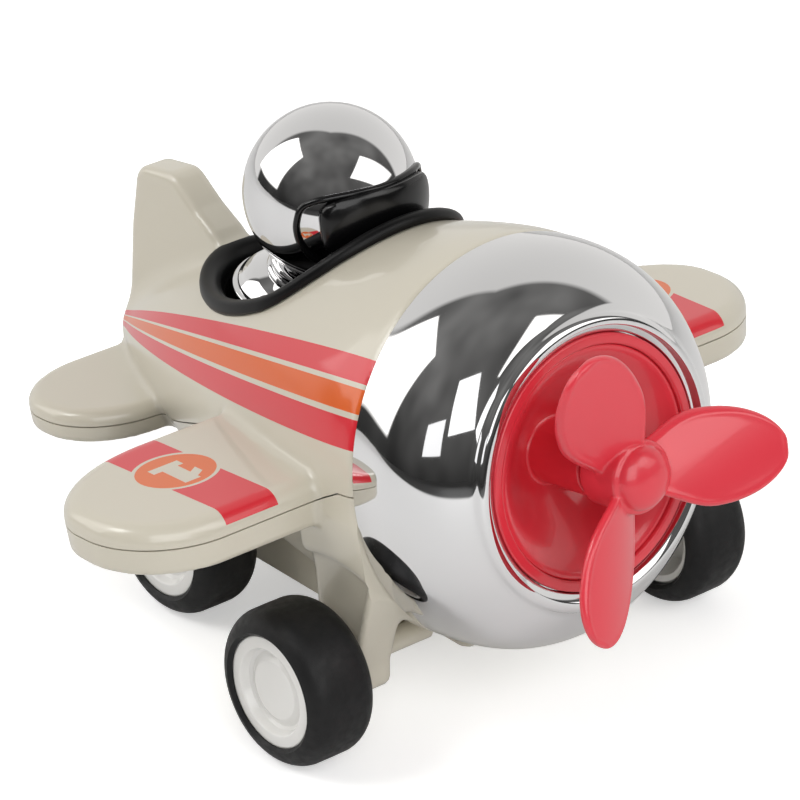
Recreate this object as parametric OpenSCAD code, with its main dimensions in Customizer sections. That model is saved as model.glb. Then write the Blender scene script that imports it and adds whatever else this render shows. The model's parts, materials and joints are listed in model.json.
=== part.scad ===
// Toy propeller plane: pull-back motor on the rear axle, front axle geared to the propeller.
// The body frame has u along the thrust line (0 at the spinner dish rim, + forward), y to the left wing
// and w upward. attitude() stands it nose-up on its wheels.

/* [Stance] */
// Nose-up angle of the thrust line
pitch = 9.5; // [8:0.5:11]
// Height of the dish rim centre above the ground
nose_z = 43; // [42.5:0.5:44]
// Dish rim centre ahead of the middle of the model
nose_x = 46.1; // [45.5:0.1:47]
// Front axle behind the dish rim centre
front_axle_back = 22.3; // [22:0.1:22.6]
// Distance between the two axles
wheelbase = 44.2; // [43.8:0.1:44.6]

/* [Body] */
// Largest radius of the fuselage
body_r = 29.8; // [29.4:0.1:30]
// Station where the fuselage starts to taper
taper_u = -22; // [-23:0.5:-21]
// Length of the taper, to the tip of the tail
taper_len = 88; // [87:0.5:89]
// Wall of the two plastic shells
wall = 1.8; // [1.6:0.1:2]
// Station of the joint between cowl and fuselage
seam_u = -17.5; // [-18:0.5:-17]

/* [Wings] */
// Half span
wing_tip_y = 61.2; // [58:0.2:64]
// Leading edge station
wing_le_u = -25.5; // [-26:0.5:-25]
// Chord
wing_chord = 28.5; // [27:0.5:30]
// Half span of the tailplane
tail_tip_y = 28; // [26:0.5:30]
// Leading edge station of the tailplane
tail_le_u = -83.6; // [-84:0.2:-82]
// Chord of the tailplane
tail_chord = 22.6; // [22:0.2:24]
// Thickness of the fin
fin_t = 6; // [5:0.5:6.5]

/* [Wheels] */
// Wheel radius
wheel_r = 11.8; // [11.6:0.1:12]
// Tyre width
tyre_w = 11.6; // [11:0.2:11.8]
// Rim radius, where the tyre grips the hub
rim_r = 8.4; // [8.2:0.1:8.6]
// Middle of a front wheel from the centre line
front_track_y = 36; // [35.8:0.1:36.4]
// Middle of a rear wheel from the centre line
rear_track_y = 21.4; // [21.2:0.1:21.8]
// Axle radius
axle_r = 1.25; // [1.2:0.01:1.27]

/* [Propeller] */
// Radius of the blade tips
blade_tip_r = 24; // [23:0.5:25]
// Widest chord of a blade
blade_chord = 14; // [13:0.5:14.5]
// Twist of the blades against the propeller disc
blade_twist = 18; // [14:1:24]
// Forward lean of the blades
blade_cone = 15; // [12:0.5:16]
// Radius of the propeller shaft
prop_shaft_r = 1; // [0.95:0.01:1.02]

/* [Pilot] */
// Helmet radius
helmet_r = 12.9; // [12.5:0.1:13]

/* [Hidden] */
$fn = 48;

eps = 0.01;
run_gap = 0.05;          // radial clearance of a turning shaft
fit_gap = 0.05;          // gap between fitted parts of the body

front_axle_x = nose_x - front_axle_back;
rear_axle_x = front_axle_x - wheelbase;

// A ground-frame point given in the body frame.
function body_u(x, z) = (x - nose_x) * cos(pitch) + (z - nose_z) * sin(pitch);
function body_w(x, z) = -(x - nose_x) * sin(pitch) + (z - nose_z) * cos(pitch);
lay_u = body_u(front_axle_x, wheel_r);       // station of the upright lay shaft
axle_w = body_w(front_axle_x, wheel_r);      // height of the front axle

module attitude() translate([nose_x, 0, nose_z]) rotate([0, -pitch, 0]) children();
module along_u() rotate([0, 90, 0]) children();      // z of a child becomes u, its x becomes -w
module along_y() rotate([-90, 0, 0]) children();     // z of a child becomes y
module both_sides() { children(); mirror([0, 1, 0]) children(); }
function arc(c, r, from, to, n = 8) =
    [for (i = [0:n]) let (a = from + (to - from) * i / n) [c[0] + r * cos(a), c[1] + r * sin(a)]];

/* ---- fuselage ---- */
function taper(u) = u > taper_u ? 1 : pow(1 - pow(min(1, (taper_u - u) / taper_len), 1.4), 0.75);
function fuselage_r(u) = body_r * taper(u);
tail_u = taper_u - taper_len;
tail_end_r = 4;                                      // blunt end of the tail
stations = [taper_u, -31, -40, -50, -60, -70, -80, -90, -98, -103];
module revolve_u(profile) along_u() rotate_extrude($fn = 72) polygon(profile);

// Solid of revolution of the fuselage, grown by g (negative for the cavity).
module fuselage_body(g = 0, front = seam_u)
    revolve_u(concat([[0, front], [fuselage_r(front) + g, front]],
                     [for (u = stations) [max(0.4, fuselage_r(u) + g), u]],
                     [[max(0.4, tail_end_r + g), tail_u + 1.5 - g],
                      [max(0.2, tail_end_r - 1.2 + g), tail_u - g], [0, tail_u - g]]));

// Parting surface of the shells, seen from the side: level behind the cowl, along the wing, then down
// to the tailplane.
wing_slope = 0.088;                                  // the wing lies nearly level on the ground
wing_w = 0;                                          // height of the parting at the middle of the wing
wing_mid_u = wing_le_u - wing_chord / 2;
tail_w = -5;
tail_mid_u = tail_le_u - tail_chord / 2;
function wing_line(u) = wing_w - wing_slope * (u - wing_mid_u);
function tail_line(u) = tail_w - wing_slope * (u - tail_mid_u);
wing_te_u = wing_le_u - wing_chord - 2;
front_line_u = -21;                                  // the level stretch behind the cowl
front_line_w = 0.6;
module above_parting(gap = 0)
    rotate([90, 0, 0]) translate([0, 0, -100]) linear_extrude(200)
        polygon([[wing_le_u, wing_line(wing_le_u) + gap], [front_line_u, front_line_w + gap],
                 [5, front_line_w + gap], [5, 60], [-130, 60], [-130, tail_line(-130) + gap],
                 [tail_le_u + 2, tail_line(tail_le_u + 2) + gap], [wing_te_u, wing_line(wing_te_u) + gap]]);

// Plan of a wing: straight edges and a tip with two elliptical corners, each sized along u and along y.
function corner(c, size, from) =
    [for (a = [from:11.25:from + 90]) [c[0] + size[0] * cos(a), c[1] + size[1] * sin(a)]];
module plan(le, chord, root, tip, corner_le, corner_te)
    polygon(concat([[le - chord, root], [le, root]],
                   corner([le - corner_le[0], tip - corner_le[1]], corner_le, 0),
                   corner([le - chord + corner_te[0], tip - corner_te[1]], corner_te, 90)));
function smaller(size, by) = [size[0] - by, size[1] - by];
edge_r = 1.6;                                        // step that stands for the rounded upper edge
module slab(le, chord, root, tip, corner_le, corner_te, up, down) {
    translate([0, 0, -down]) linear_extrude(up + down - edge_r)
        plan(le, chord, root, tip, corner_le, corner_te);
    translate([0, 0, up - edge_r - eps]) linear_extrude(edge_r)
        plan(le - edge_r, chord - 2 * edge_r, root, tip - edge_r,
             smaller(corner_le, edge_r), smaller(corner_te, edge_r));
}
module level(mid, w) translate([mid, 0, w]) rotate([0, atan(wing_slope), 0]) translate([-mid, 0, 0]) children();
wing_up = 3.3;                                       // thickness above the parting
wing_down = 3.6;
wing_corner_le = [13, 14];
wing_corner_te = [13.5, 21];
tail_corner_le = [11, 13];
tail_corner_te = [10.5, 14];
module wings() both_sides() level(wing_mid_u, wing_w)
    slab(wing_le_u, wing_chord, 10, wing_tip_y, wing_corner_le, wing_corner_te, wing_up, wing_down);
module wing_hollows() both_sides() level(wing_mid_u, wing_w)
    translate([0, 0, wall - wing_down]) linear_extrude(wing_up + wing_down - 2 * wall)
        plan(wing_le_u - 4, wing_chord - 8, 12, wing_tip_y - 4,
             smaller(wing_corner_le, 4), smaller(wing_corner_te, 4));
module tailplane() both_sides() level(tail_mid_u, tail_w)
    slab(tail_le_u, tail_chord, 0, tail_tip_y, tail_corner_le, tail_corner_te, 2.4, 2.6);

fin_corner_r = 3.2;
module fin() rotate([90, 0, 0]) translate([0, 0, -fin_t / 2]) linear_extrude(fin_t)
    polygon(concat([[-72, 0], [-72, 12], [-76, 16.2]], arc([-90.6, 24.5], fin_corner_r, 48, 90, 4),
                   arc([-95.6, 24.5], fin_corner_r, 90, 170, 6), [[-103.9, 3], [-104, 0]]));

/* ---- cockpit opening ---- */
cockpit_u = -51;                                     // widest point of the egg-shaped rim
rim_front = 15.5;                                    // rim outline ahead of and behind that point
rim_back = 29;
rim_half_w = 18.1;
rim_band = 2.6;                                      // width of the rolled rim
module cockpit_tube(inset) translate([cockpit_u, 0, 0]) linear_extrude(50) polygon([
    for (a = [0:5.625:359]) [((cos(a) > 0 ? rim_front : rim_back) - inset) * cos(a), (rim_half_w - inset) * sin(a)]]);

/* ---- legs and axle seats ---- */
leg_in_y = 22.3;
leg_out_y = 29.4;
leg_foot_r = 6.2;
leg_top_z = 34;
module legs() both_sides() translate([0, leg_out_y, 0]) rotate([90, 0, 0])
    linear_extrude(leg_out_y - leg_in_y)
        polygon(concat(arc([front_axle_x, wheel_r], leg_foot_r, -180, 0, 16),
                       [[front_axle_x + 8, leg_top_z], [front_axle_x - 9, leg_top_z]]));
module axle_bore(x, r) translate([x, -50, wheel_r]) along_y() cylinder(r = r, h = 100);

/* ---- screw posts that join the shells ---- */
posts = [[-44, 18.5, -14, 14], [-88, 5.5, -9.5, 8]];  // u, y, seat of the screw head, top of the bore
post_r = 2.8;
screw_r = 1.2;
head_r = 2.1;
head_h = 1.4;
module post_bodies() for (p = posts) both_sides()
    translate([p[0], p[1], -30]) cylinder(r = post_r, h = 60);
module post_bores() for (p = posts) both_sides()
    translate([p[0], p[1], p[2]]) cylinder(r = screw_r, h = p[3] - p[2]);
module post_sinks() for (p = posts) both_sides()
    translate([p[0], p[1], -40]) cylinder(r = head_r + 0.1, h = 40 + p[2]);

// Outside of both shells less their cavity; the fin, wings and tailplane are hollow only where they are thick.
module hull_form(with_fin) difference() {
    union() {
        fuselage_body();
        wings();
        tailplane();
        if (with_fin) difference() { fin(); cockpit_tube(-2 * fit_gap); }
    }
    difference() {
        union() { fuselage_body(-wall, seam_u + 1); wing_hollows(); }
        post_bodies();
    }
    translate([seam_u, -40, -40]) cube([30, 80, 80]);
}

module upper_shell() color([0.78, 0.75, 0.68]) attitude() difference() {
    intersection() { hull_form(true); above_parting(fit_gap / 2); }
    cockpit_tube(1.5);
    post_bores();
}

/* ---- belly openings and covers, in the ground frame ---- */
belly_back = 11;                                     // wide part of the front opening, behind the axle
wide_back = 2.4;
belly_half_w = 12;
belly_z = 9;
keel_back = 8;                                       // keel under the axle gears, behind and ahead of the axle
keel_front = 4.9;
keel_half_w = 7.6;
keel_z = 7;
cover_t = 1.2;
shelf_z = 12.6;                                      // shelves that take the front cover's screws
shelf_h = 4;
front_screw_x = front_axle_x - 7;
front_screw_y = 9.6;
cover_screw_r = 0.9;
module block(x0, x1, half_w, z0, z1) translate([x0, -half_w, z0]) cube([x1 - x0, 2 * half_w, z1 - z0]);

case_back = 8;                                       // motor case, behind and ahead of the rear axle
case_ahead = 24.5;
case_x0 = rear_axle_x - case_back;
case_x1 = rear_axle_x + case_ahead;
case_z0 = 6.2;
case_z1 = 31;
case_half_w = 8.6;
case_room = 0.3;                                     // room around the case
boss_len = 6;                                        // screw bosses at both ends of the rear cover
rear_screw_x = [case_x0 - 4.6, case_x1 + 4.6];
rear_cover_z = 4.8;
rear_post_z = 18;
arch_in_y = 14.6;                                    // flat inner wall of a rear wheel arch
arch_gap = 0.9;
module rear_arches(g) both_sides() translate([rear_axle_x, arch_in_y - g, wheel_r]) along_y()
    cylinder(r = wheel_r + arch_gap + g, h = 20);

// Plan of the front opening: wide behind the axle, with the narrower keel running forward.
module front_opening(gap, z0, z1) {
    block(front_axle_x - belly_back - gap, front_axle_x - wide_back + gap, belly_half_w + gap, z0, z1);
    block(front_axle_x - wide_back - 1, front_axle_x + keel_front + gap, keel_half_w + gap, z0, z1);
}

module lower_shell() color([0.78, 0.75, 0.68]) difference() {
    union() {
        difference() { attitude() hull_form(false); rear_arches(0); }
        difference() {
            legs();
            attitude() fuselage_body(-wall / 2, seam_u + 1);
            attitude() translate([seam_u, -40, -40]) cube([30, 80, 80]);
        }
        difference() {
            intersection() { rear_arches(wall); attitude() fuselage_body(-fit_gap, seam_u); }
            rear_arches(0);
        }
        attitude() for (y = frame_post_y) translate([frame_post_u, y, -26])
            cylinder(r = 2.3, h = 26 + frame_foot_w);
        intersection() {
            for (x = rear_screw_x) translate([x, 0, 2]) cylinder(r = 2.6, h = rear_post_z - 2);
            attitude() fuselage_body(-wall / 2, seam_u);
        }
        both_sides() translate([front_screw_x - 2.5, 7.2, shelf_z]) cube([5, 8.2, shelf_h]);
    }
    attitude() above_parting(-fit_gap / 2);
    attitude() post_sinks();
    attitude() post_bores();
    attitude() for (y = frame_post_y) translate([frame_post_u, y, frame_foot_w - 6])
        cylinder(r = frame_screw_r, h = 8);
    axle_bore(front_axle_x, axle_r + run_gap);
    front_opening(fit_gap, 0, shelf_z);
    block(case_x0 - case_room, case_x1 + case_room, case_half_w + case_room, 0, 27);
    both_sides() translate([front_screw_x, front_screw_y, 8]) cylinder(r = cover_screw_r, h = 7.8);
    for (x = rear_screw_x) translate([x, 0, 0]) cylinder(r = cover_screw_r, h = rear_post_z - 0.6);
}

module front_belly_cover() color([0.78, 0.75, 0.68]) difference() {
    union() {
        difference() {
            union() {
                front_opening(0, belly_z, shelf_z - fit_gap);
                block(front_axle_x - keel_back, front_axle_x + keel_front, keel_half_w, keel_z, shelf_z - fit_gap);
            }
            block(front_axle_x - belly_back + cover_t, front_axle_x - wide_back - cover_t,
                  belly_half_w - cover_t, belly_z + cover_t, shelf_z + 1);
            block(front_axle_x - keel_back + cover_t, front_axle_x + keel_front - cover_t,
                  keel_half_w - cover_t, keel_z + cover_t - 0.1, shelf_z + 1);
        }
        both_sides() translate([front_screw_x, front_screw_y, belly_z])
            cylinder(r = 2.3, h = shelf_z - fit_gap - belly_z);
    }
    axle_bore(front_axle_x, axle_r + 0.3);
    both_sides() translate([front_screw_x, front_screw_y, belly_z - 1]) {
        cylinder(r = cover_screw_r, h = 8);
        cylinder(r = 1.7, h = 2);
    }
}

module rear_belly_cover() color([0.78, 0.75, 0.68]) difference() {
    union() {
        block(case_x0 - 1.8, case_x1 + 1.8, case_half_w + 2, rear_cover_z, 22);
        block(case_x0 - 1.8 - boss_len, case_x1 + 1.8 + boss_len, 4, rear_cover_z, 22);
    }
    attitude() fuselage_body(fit_gap);
    block(case_x0 - case_room, case_x1 + case_room, case_half_w + case_room, rear_cover_z + 1.2, 40);
    axle_bore(rear_axle_x, axle_r + run_gap);
    for (x = rear_screw_x) translate([x, 0, rear_cover_z - 1]) {
        cylinder(r = cover_screw_r, h = 30);
        cylinder(r = 1.7, h = 2);
    }
}

/* ---- nose ---- */
cowl_len = 20.4;
cowl_wall = 1.5;
lip_r = 18.6;                                        // inside of the bright lip
dish_r = 18.5;
spigot_r = body_r - wall - 0.3;                      // collar that enters the shells
function cowl_r(u) = body_r * pow(1 - pow((u - seam_u) / cowl_len, 2.6), 1 / 2.6);
cowl_stations = [seam_u, -15, -12, -9, -6.5, -4.5, -3, -1.8, -0.6];
module nose_cowl() color([0.8, 0.81, 0.83]) attitude()
    revolve_u(concat([[spigot_r - 1.4, seam_u - 3], [spigot_r, seam_u - 3], [spigot_r, seam_u + fit_gap]],
                     [for (u = cowl_stations) [cowl_r(u), max(u, seam_u + fit_gap)]],
                     [[20.4, 0.1], [lip_r + 0.8, 0.3], [lip_r, 0], [lip_r, -2.1]],
                     [[17.2, -2.1], [17.2, -3.3], [20.5, -3.6]],
                     [for (u = [-6.5, -9, -12, -15]) [cowl_r(u) - cowl_wall, u]], [[spigot_r - 1.4, seam_u]]));
boss_r = 4.7;
bush_r = 2.4;
module spinner_dish() color([0.86, 0.22, 0.27]) attitude()
    revolve_u([[dish_r, -0.3], [17, -0.3], [16.7, -0.9], [6, -9.2], [boss_r, -9.2], [boss_r, 1.2],
               [bush_r, 1.2], [bush_r, -13], [boss_r, -13], [boss_r, -10.8], [6.6, -10.7],
               [17, -2.6], [17, -2.05], [dish_r, -2.05]]);
module propeller_bush() color([0.75, 0.6, 0.3]) attitude()
    revolve_u([[bush_r - 0.02, -13], [bush_r - 0.02, 1.1],
               [prop_shaft_r + run_gap, 1.1], [prop_shaft_r + run_gap, -13]]);

/* ---- propeller ---- */
hub_r = 5;
hub_u0 = 2;
hub_u1 = 9;
dome_h = 2.6;
blade_u = 6.5;
blade_t = 1.7;
blade_angles = [-5.3, 119.4, 234.7];                 // from the left wing
blade_steps = 14;
// Paddle outline: half chord at fraction t of the blade's length.
function half_chord(t) = 3.6 + (blade_chord / 2 - 3.6) * pow(sin(180 * pow(t, 0.75)), 0.8);
function blade_x(t) = hub_r - 2 + (blade_tip_r - hub_r + 2) * t;
function blade_point(i, side) = [blade_x(i / blade_steps),
                                 side * half_chord(i / blade_steps) * (i == blade_steps ? 0.6 : 1)];
module blade_outline() polygon([for (i = [0:blade_steps]) blade_point(i, 1),
                                for (i = [blade_steps:-1:0]) blade_point(i, -1)]);
module propeller() color([0.9, 0.26, 0.3]) attitude() difference() {
    union() {
        revolve_u(concat([[0, hub_u0], [hub_r, hub_u0]],
                         [for (a = [0:15:75]) [hub_r * cos(a), hub_u1 + dome_h * sin(a)]], [[0, hub_u1 + dome_h]]));
        for (a = blade_angles) rotate([a, 0, 0]) translate([blade_u, 0, 0]) rotate([90, 0, 90])
            rotate([0, -blade_cone, 0]) rotate([-blade_twist, 0, 0])
                translate([0, 0, -blade_t / 2]) linear_extrude(blade_t) blade_outline();
    }
    translate([hub_u0 - 1, 0, 0]) along_u() cylinder(r = prop_shaft_r, h = hub_u1 - hub_u0 + 1);
}

/* ---- gears: pinions with 8 teeth run on crown gears with 16 ---- */
gear_m = 0.7;
pinion_n = 8;
crown_n = 16;
pinion_r = gear_m * pinion_n / 2;
crown_r = gear_m * crown_n / 2;
tooth_tip = 0.6;                                     // spur tooth outside and inside its pitch circle
tooth_root = 0.85;
crown_tip = 0.55;                                    // crown tooth above and below its pitch plane
crown_root = 0.75;
crown_tooth_t = 0.72;
crown_rim = 1.1;
crown_disc_t = 1.5;
// Toothed wheel with straight-sided teeth, a tooth at angle 0. Each tooth is given as radius and arc offset.
module spur(n, h, bore, t = 0.75) {
    r = gear_m * n / 2;
    tooth = [[r - tooth_root, -0.68 * t], [r, -0.5 * t], [r + tooth_tip, -0.25 * t],
             [r + tooth_tip, 0.25 * t], [r, 0.5 * t], [r - tooth_root, 0.68 * t]];
    difference() {
        linear_extrude(h) polygon([for (i = [0:n - 1], q = tooth)
            let (a = 360 * i / n + q[1] / q[0] * 180 / PI) [q[0] * cos(a), q[0] * sin(a)]]);
        translate([0, 0, -1]) cylinder(r = bore, h = h + 2);
    }
}
// Crown gear: disc under z = 0, radial teeth above it, hub below.
module crown(bore, hub_h) difference() {
    union() {
        translate([0, 0, -crown_disc_t]) cylinder(r = crown_r + crown_rim, h = crown_disc_t);
        translate([0, 0, -crown_disc_t - hub_h]) cylinder(r = 2.2, h = hub_h + eps);
        for (i = [0:crown_n - 1]) rotate(360 * i / crown_n) {
            half = crown_tooth_t / 2 / crown_r;
            linear_extrude(crown_tip + crown_root) polygon([for (q = [[-1, -1], [1, -1], [1, 1], [-1, 1]])
                let (r = crown_r + crown_rim * q[0]) [r, q[1] * half * r]]);
        }
    }
    translate([0, 0, -10]) cylinder(r = bore, h = 20);
}
module at_lay() attitude() translate([lay_u, 0, 0]) children();

/* ---- propeller drive ---- */
lay_shaft_r = 1;
frame_wall_u0 = lay_u - 11.2;
frame_wall_t = 2;
frame_half_w = 6.5;
plate_t = 2;
top_plate_w = -pinion_r - crown_root - crown_disc_t - 1.6;           // upper faces of the two bearing plates
low_plate_w = axle_w + pinion_r + crown_root + crown_disc_t + 3.4;
frame_top_w = 3.5;
frame_post_u = frame_wall_u0 + 2.6;
frame_foot_w = -14;                                  // underside of the feet
frame_foot_t = 2;
frame_post_y = [-15.5, 15.5];
frame_screw_r = 0.9;

module propeller_shaft() color([0.7, 0.7, 0.72]) attitude() translate([frame_wall_u0 + 0.2, 0, 0])
    along_u() cylinder(r = prop_shaft_r, h = hub_u1 - frame_wall_u0 - 0.2);
module propeller_pinion() color([0.92, 0.9, 0.84]) attitude() translate([lay_u - crown_r, 0, 0]) along_u() {
    translate([0, 0, -0.7]) rotate(180 / pinion_n) spur(pinion_n, 1.4, prop_shaft_r);
    difference() {
        translate([0, 0, -3.4]) cylinder(r = 1.8, h = 2.7 + eps);
        translate([0, 0, -5]) cylinder(r = prop_shaft_r, h = 8);
    }
}
module lay_shaft() color([0.7, 0.7, 0.72]) at_lay() translate([0, 0, axle_w + 2.2])
    cylinder(r = lay_shaft_r, h = -1.7 - axle_w - 2.2);
module lay_top_crown() color([0.92, 0.9, 0.84]) at_lay() translate([0, 0, -pinion_r - crown_root])
    crown(lay_shaft_r, 1.4);
module lay_bottom_crown() color([0.92, 0.9, 0.84]) at_lay() translate([0, 0, axle_w + pinion_r + crown_root])
    mirror([0, 0, 1]) crown(lay_shaft_r, 1.2);
module gear_frame() color([0.3, 0.31, 0.33]) attitude() difference() {
    union() {
        translate([frame_wall_u0, -frame_half_w, low_plate_w - plate_t])
            cube([frame_wall_t, 2 * frame_half_w, frame_top_w - low_plate_w + plate_t]);
        for (w = [top_plate_w, low_plate_w]) translate([frame_wall_u0 + eps, -4, w - plate_t])
            cube([lay_u - frame_wall_u0 + 3, 8, plate_t]);
        translate([frame_wall_u0, -18, frame_foot_w]) cube([5, 36, frame_foot_t]);
    }
    translate([frame_wall_u0 - 1, 0, 0]) along_u() cylinder(r = prop_shaft_r + run_gap, h = 5);
    translate([lay_u, 0, -30]) cylinder(r = lay_shaft_r + run_gap, h = 35);
    for (y = frame_post_y) translate([frame_post_u, y, frame_foot_w - 1]) cylinder(r = frame_screw_r + 0.1, h = 5);
}

/* ---- wheels and axles ---- */
hub_out = 5.1;                                       // outer face of a hub from the middle of the tyre
axle_end = 3.3;                                      // the axle stops this far out of the middle of the tyre
module wheel_pair(x, track) translate([x, 0, wheel_r]) both_sides() translate([0, track, 0]) along_y() children();
module axle(x, track) translate([x, -track - axle_end, wheel_r]) along_y() cylinder(r = axle_r, h = 2 * (track + axle_end));
module wheel_hub() rotate_extrude($fn = 64) polygon([
    [0, 4.3], [4.5, 4.3], [5.1, 3.5], [6.1, 3.5], [6.5, hub_out], [rim_r, hub_out], [rim_r, -4.6], [7.2, -4.6],
    [7, 1.4], [3, 1.4], [2.8, -4.2], [axle_r, -4.2], [axle_r, axle_end], [0, axle_end]]);
shoulder_r = 3.6;
module tyre() rotate_extrude($fn = 64) polygon(concat([[rim_r, -tyre_w / 2 + 0.4]],
    arc([wheel_r - shoulder_r, shoulder_r - tyre_w / 2], shoulder_r, -80, 0, 6),
    arc([wheel_r - shoulder_r, tyre_w / 2 - shoulder_r], shoulder_r, 0, 80, 6), [[rim_r, tyre_w / 2 - 0.4]]));
module front_axle() color([0.7, 0.7, 0.72]) axle(front_axle_x, front_track_y);
module rear_axle() color([0.7, 0.7, 0.72]) axle(rear_axle_x, rear_track_y);
module front_wheel_hubs() color([0.93, 0.93, 0.91]) wheel_pair(front_axle_x, front_track_y) wheel_hub();
module rear_wheel_hubs() color([0.93, 0.93, 0.91]) wheel_pair(rear_axle_x, rear_track_y) wheel_hub();
module front_tyres() color([0.07, 0.07, 0.07]) wheel_pair(front_axle_x, front_track_y) tyre();
module rear_tyres() color([0.07, 0.07, 0.07]) wheel_pair(rear_axle_x, rear_track_y) tyre();
module front_pinion() color([0.92, 0.9, 0.84]) attitude() translate([lay_u, -crown_r - 0.7, axle_w]) along_y()
    rotate(180 / pinion_n) spur(pinion_n, 1.4, axle_r);

/* ---- pull-back motor, in the ground frame ---- */
axle_gear_n = 10;
spring_gear_n = 28;
spring_angle = 31.8;                                 // the spring gear sits ahead of the rear axle and above it
spring_d = gear_m * (axle_gear_n + spring_gear_n) / 2;
spring_x = rear_axle_x + spring_d * cos(spring_angle);
spring_z = wheel_r + spring_d * sin(spring_angle);
motor_gear_y = -6.6;
motor_gear_t = 1.8;
arbor_r = 1.5;
case_t = 1.2;
module motor_case(side) difference() {
    translate([case_x0, min(0, side * case_half_w) + (side > 0 ? fit_gap : 0), case_z0])
        cube([case_x1 - case_x0, case_half_w - fit_gap, case_z1 - case_z0]);
    block(case_x0 + case_t, case_x1 - case_t, case_half_w - case_t, case_z0 + case_t, case_z1 - case_t);
    axle_bore(rear_axle_x, axle_r + run_gap);
    translate([spring_x, -20, spring_z]) along_y() cylinder(r = arbor_r + run_gap, h = 40);
}
module motor_case_right() color([0.25, 0.4, 0.6]) motor_case(-1);
module motor_case_left() color([0.25, 0.4, 0.6]) motor_case(1);
module rear_axle_gear() color([0.92, 0.9, 0.84]) translate([rear_axle_x, motor_gear_y, wheel_r]) along_y()
    rotate(-spring_angle) spur(axle_gear_n, motor_gear_t, axle_r);
module spring_gear() color([0.92, 0.9, 0.84]) translate([spring_x, motor_gear_y, spring_z]) along_y()
    rotate(180 - spring_angle + 180 / spring_gear_n) spur(spring_gear_n, motor_gear_t, arbor_r);
module spring_arbor() color([0.7, 0.7, 0.72]) translate([spring_x, -case_half_w + 0.2, spring_z]) along_y()
    cylinder(r = arbor_r, h = 2 * case_half_w - 0.4);

// Flat coil of spring steel.
coil_turns = 5;
coil_r0 = 2.6;
coil_r1 = 8.8;
coil_t = 0.3;
coil_steps = 16;                                     // per turn
module mainspring() color([0.45, 0.47, 0.5]) translate([spring_x, -3.8, spring_z]) along_y() linear_extrude(9) polygon([
    for (side = [0, 1], i = [0:coil_turns * coil_steps])
        let (k = side == 0 ? i : coil_turns * coil_steps - i,
             r = coil_r0 + (coil_r1 - coil_r0) * k / coil_turns / coil_steps + side * coil_t, a = 360 * k / coil_steps)
        [r * cos(a), r * sin(a)]]);

/* ---- cockpit and pilot ---- */
module ring_of_body(outer, inner, grow, shrink) intersection() {
    difference() { cockpit_tube(outer); cockpit_tube(inner); }
    difference() { fuselage_body(grow); fuselage_body(shrink); }
}
module cockpit_rim() color([0.05, 0.05, 0.05]) attitude() {
    ring_of_body(0, rim_band, 1.5, fit_gap);
    ring_of_body(1.5 + fit_gap, rim_band, 0.5, -4);
}
floor_w = 7;
module cockpit_floor() color([0.08, 0.08, 0.08]) attitude() {
    intersection() {
        difference() { cockpit_tube(rim_band + fit_gap); cockpit_tube(rim_band + 1.2); }
        difference() { fuselage_body(-2.7); translate([-100, -30, -40]) cube([100, 60, 40.7 + floor_w]); }
    }
    intersection() { cockpit_tube(rim_band + 1); translate([-100, -30, floor_w]) cube([100, 60, 1.5]); }
}
helmet_u = -53.7;
helmet_w = 30.6;
neck_r = 3.2;
neck_lean = 42;                                      // the neck leans back from the helmet
bust_u = -65.5;                                      // middle of the shoulders
bust_w = 14.6;
bust_r = 10.2;
bust_lean = 20;
module about_helmet() translate([helmet_u, 0, helmet_w]) rotate([0, neck_lean, 0]) children();
module pilot_body() color([0.8, 0.81, 0.83]) attitude() {
    about_helmet() translate([0, 0, -20.5]) rotate_extrude()
        polygon([[0, 0], [4.6, 0], [5, 1.6], [4.2, 2.6], [4.5, 3.6], [3.8, 5], [neck_r, 5.4], [neck_r, 9.6], [0, 9.6]]);
    translate([bust_u, 0, bust_w]) rotate([0, bust_lean, 0]) rotate_extrude()
        polygon([[0, -3], [7, -3], [bust_r, -0.6], [bust_r, 0.4], [8.6, 1.9], [5, 3.4], [0, 3.9]]);
    translate([bust_u, 0, floor_w + 1.5]) cylinder(r = 5.5, h = bust_w - floor_w - 2);
}
module pilot_helmet() color([0.8, 0.81, 0.83]) attitude() difference() {
    translate([helmet_u, 0, helmet_w]) sphere(helmet_r, $fn = 64);
    about_helmet() translate([0, 0, -20]) cylinder(r = neck_r + fit_gap, h = 9.2);
    about_helmet() translate([-20, -20, -22]) cube([40, 40, 9.6]);
}
visor_t = 1.3;
module pilot_visor() color([0.04, 0.04, 0.05]) attitude() translate([helmet_u, 0, helmet_w]) intersection() {
    difference() { sphere(helmet_r + visor_t, $fn = 64); sphere(helmet_r + fit_gap, $fn = 64); }
    translate([1, -20, -4.2]) cube([20, 40, 8.2]);
}

/* ---- fasteners ---- */
module pan_screw(r, len, head, head_t) {
    cylinder(r = head, h = head_t);
    cylinder(r = r, h = head_t + len);
}
module shell_screws() color([0.6, 0.61, 0.63]) attitude() for (p = posts) both_sides()
    translate([p[0], p[1], p[2] - head_h]) pan_screw(screw_r - 0.05, p[3] - p[2] - 1, head_r, head_h);
module cover_screws() color([0.6, 0.61, 0.63]) {
    both_sides() translate([front_screw_x, front_screw_y, belly_z]) pan_screw(cover_screw_r - 0.05, 5.6, 1.6, 1);
    for (x = rear_screw_x) translate([x, 0, rear_cover_z]) pan_screw(cover_screw_r - 0.05, 11, 1.6, 1);
}
module frame_screws() color([0.6, 0.61, 0.63]) attitude() for (y = frame_post_y)
    translate([frame_post_u, y, frame_foot_w + frame_foot_t + 1]) mirror([0, 0, 1])
        pan_screw(frame_screw_r - 0.05, 6, 1.7, 1);

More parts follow.
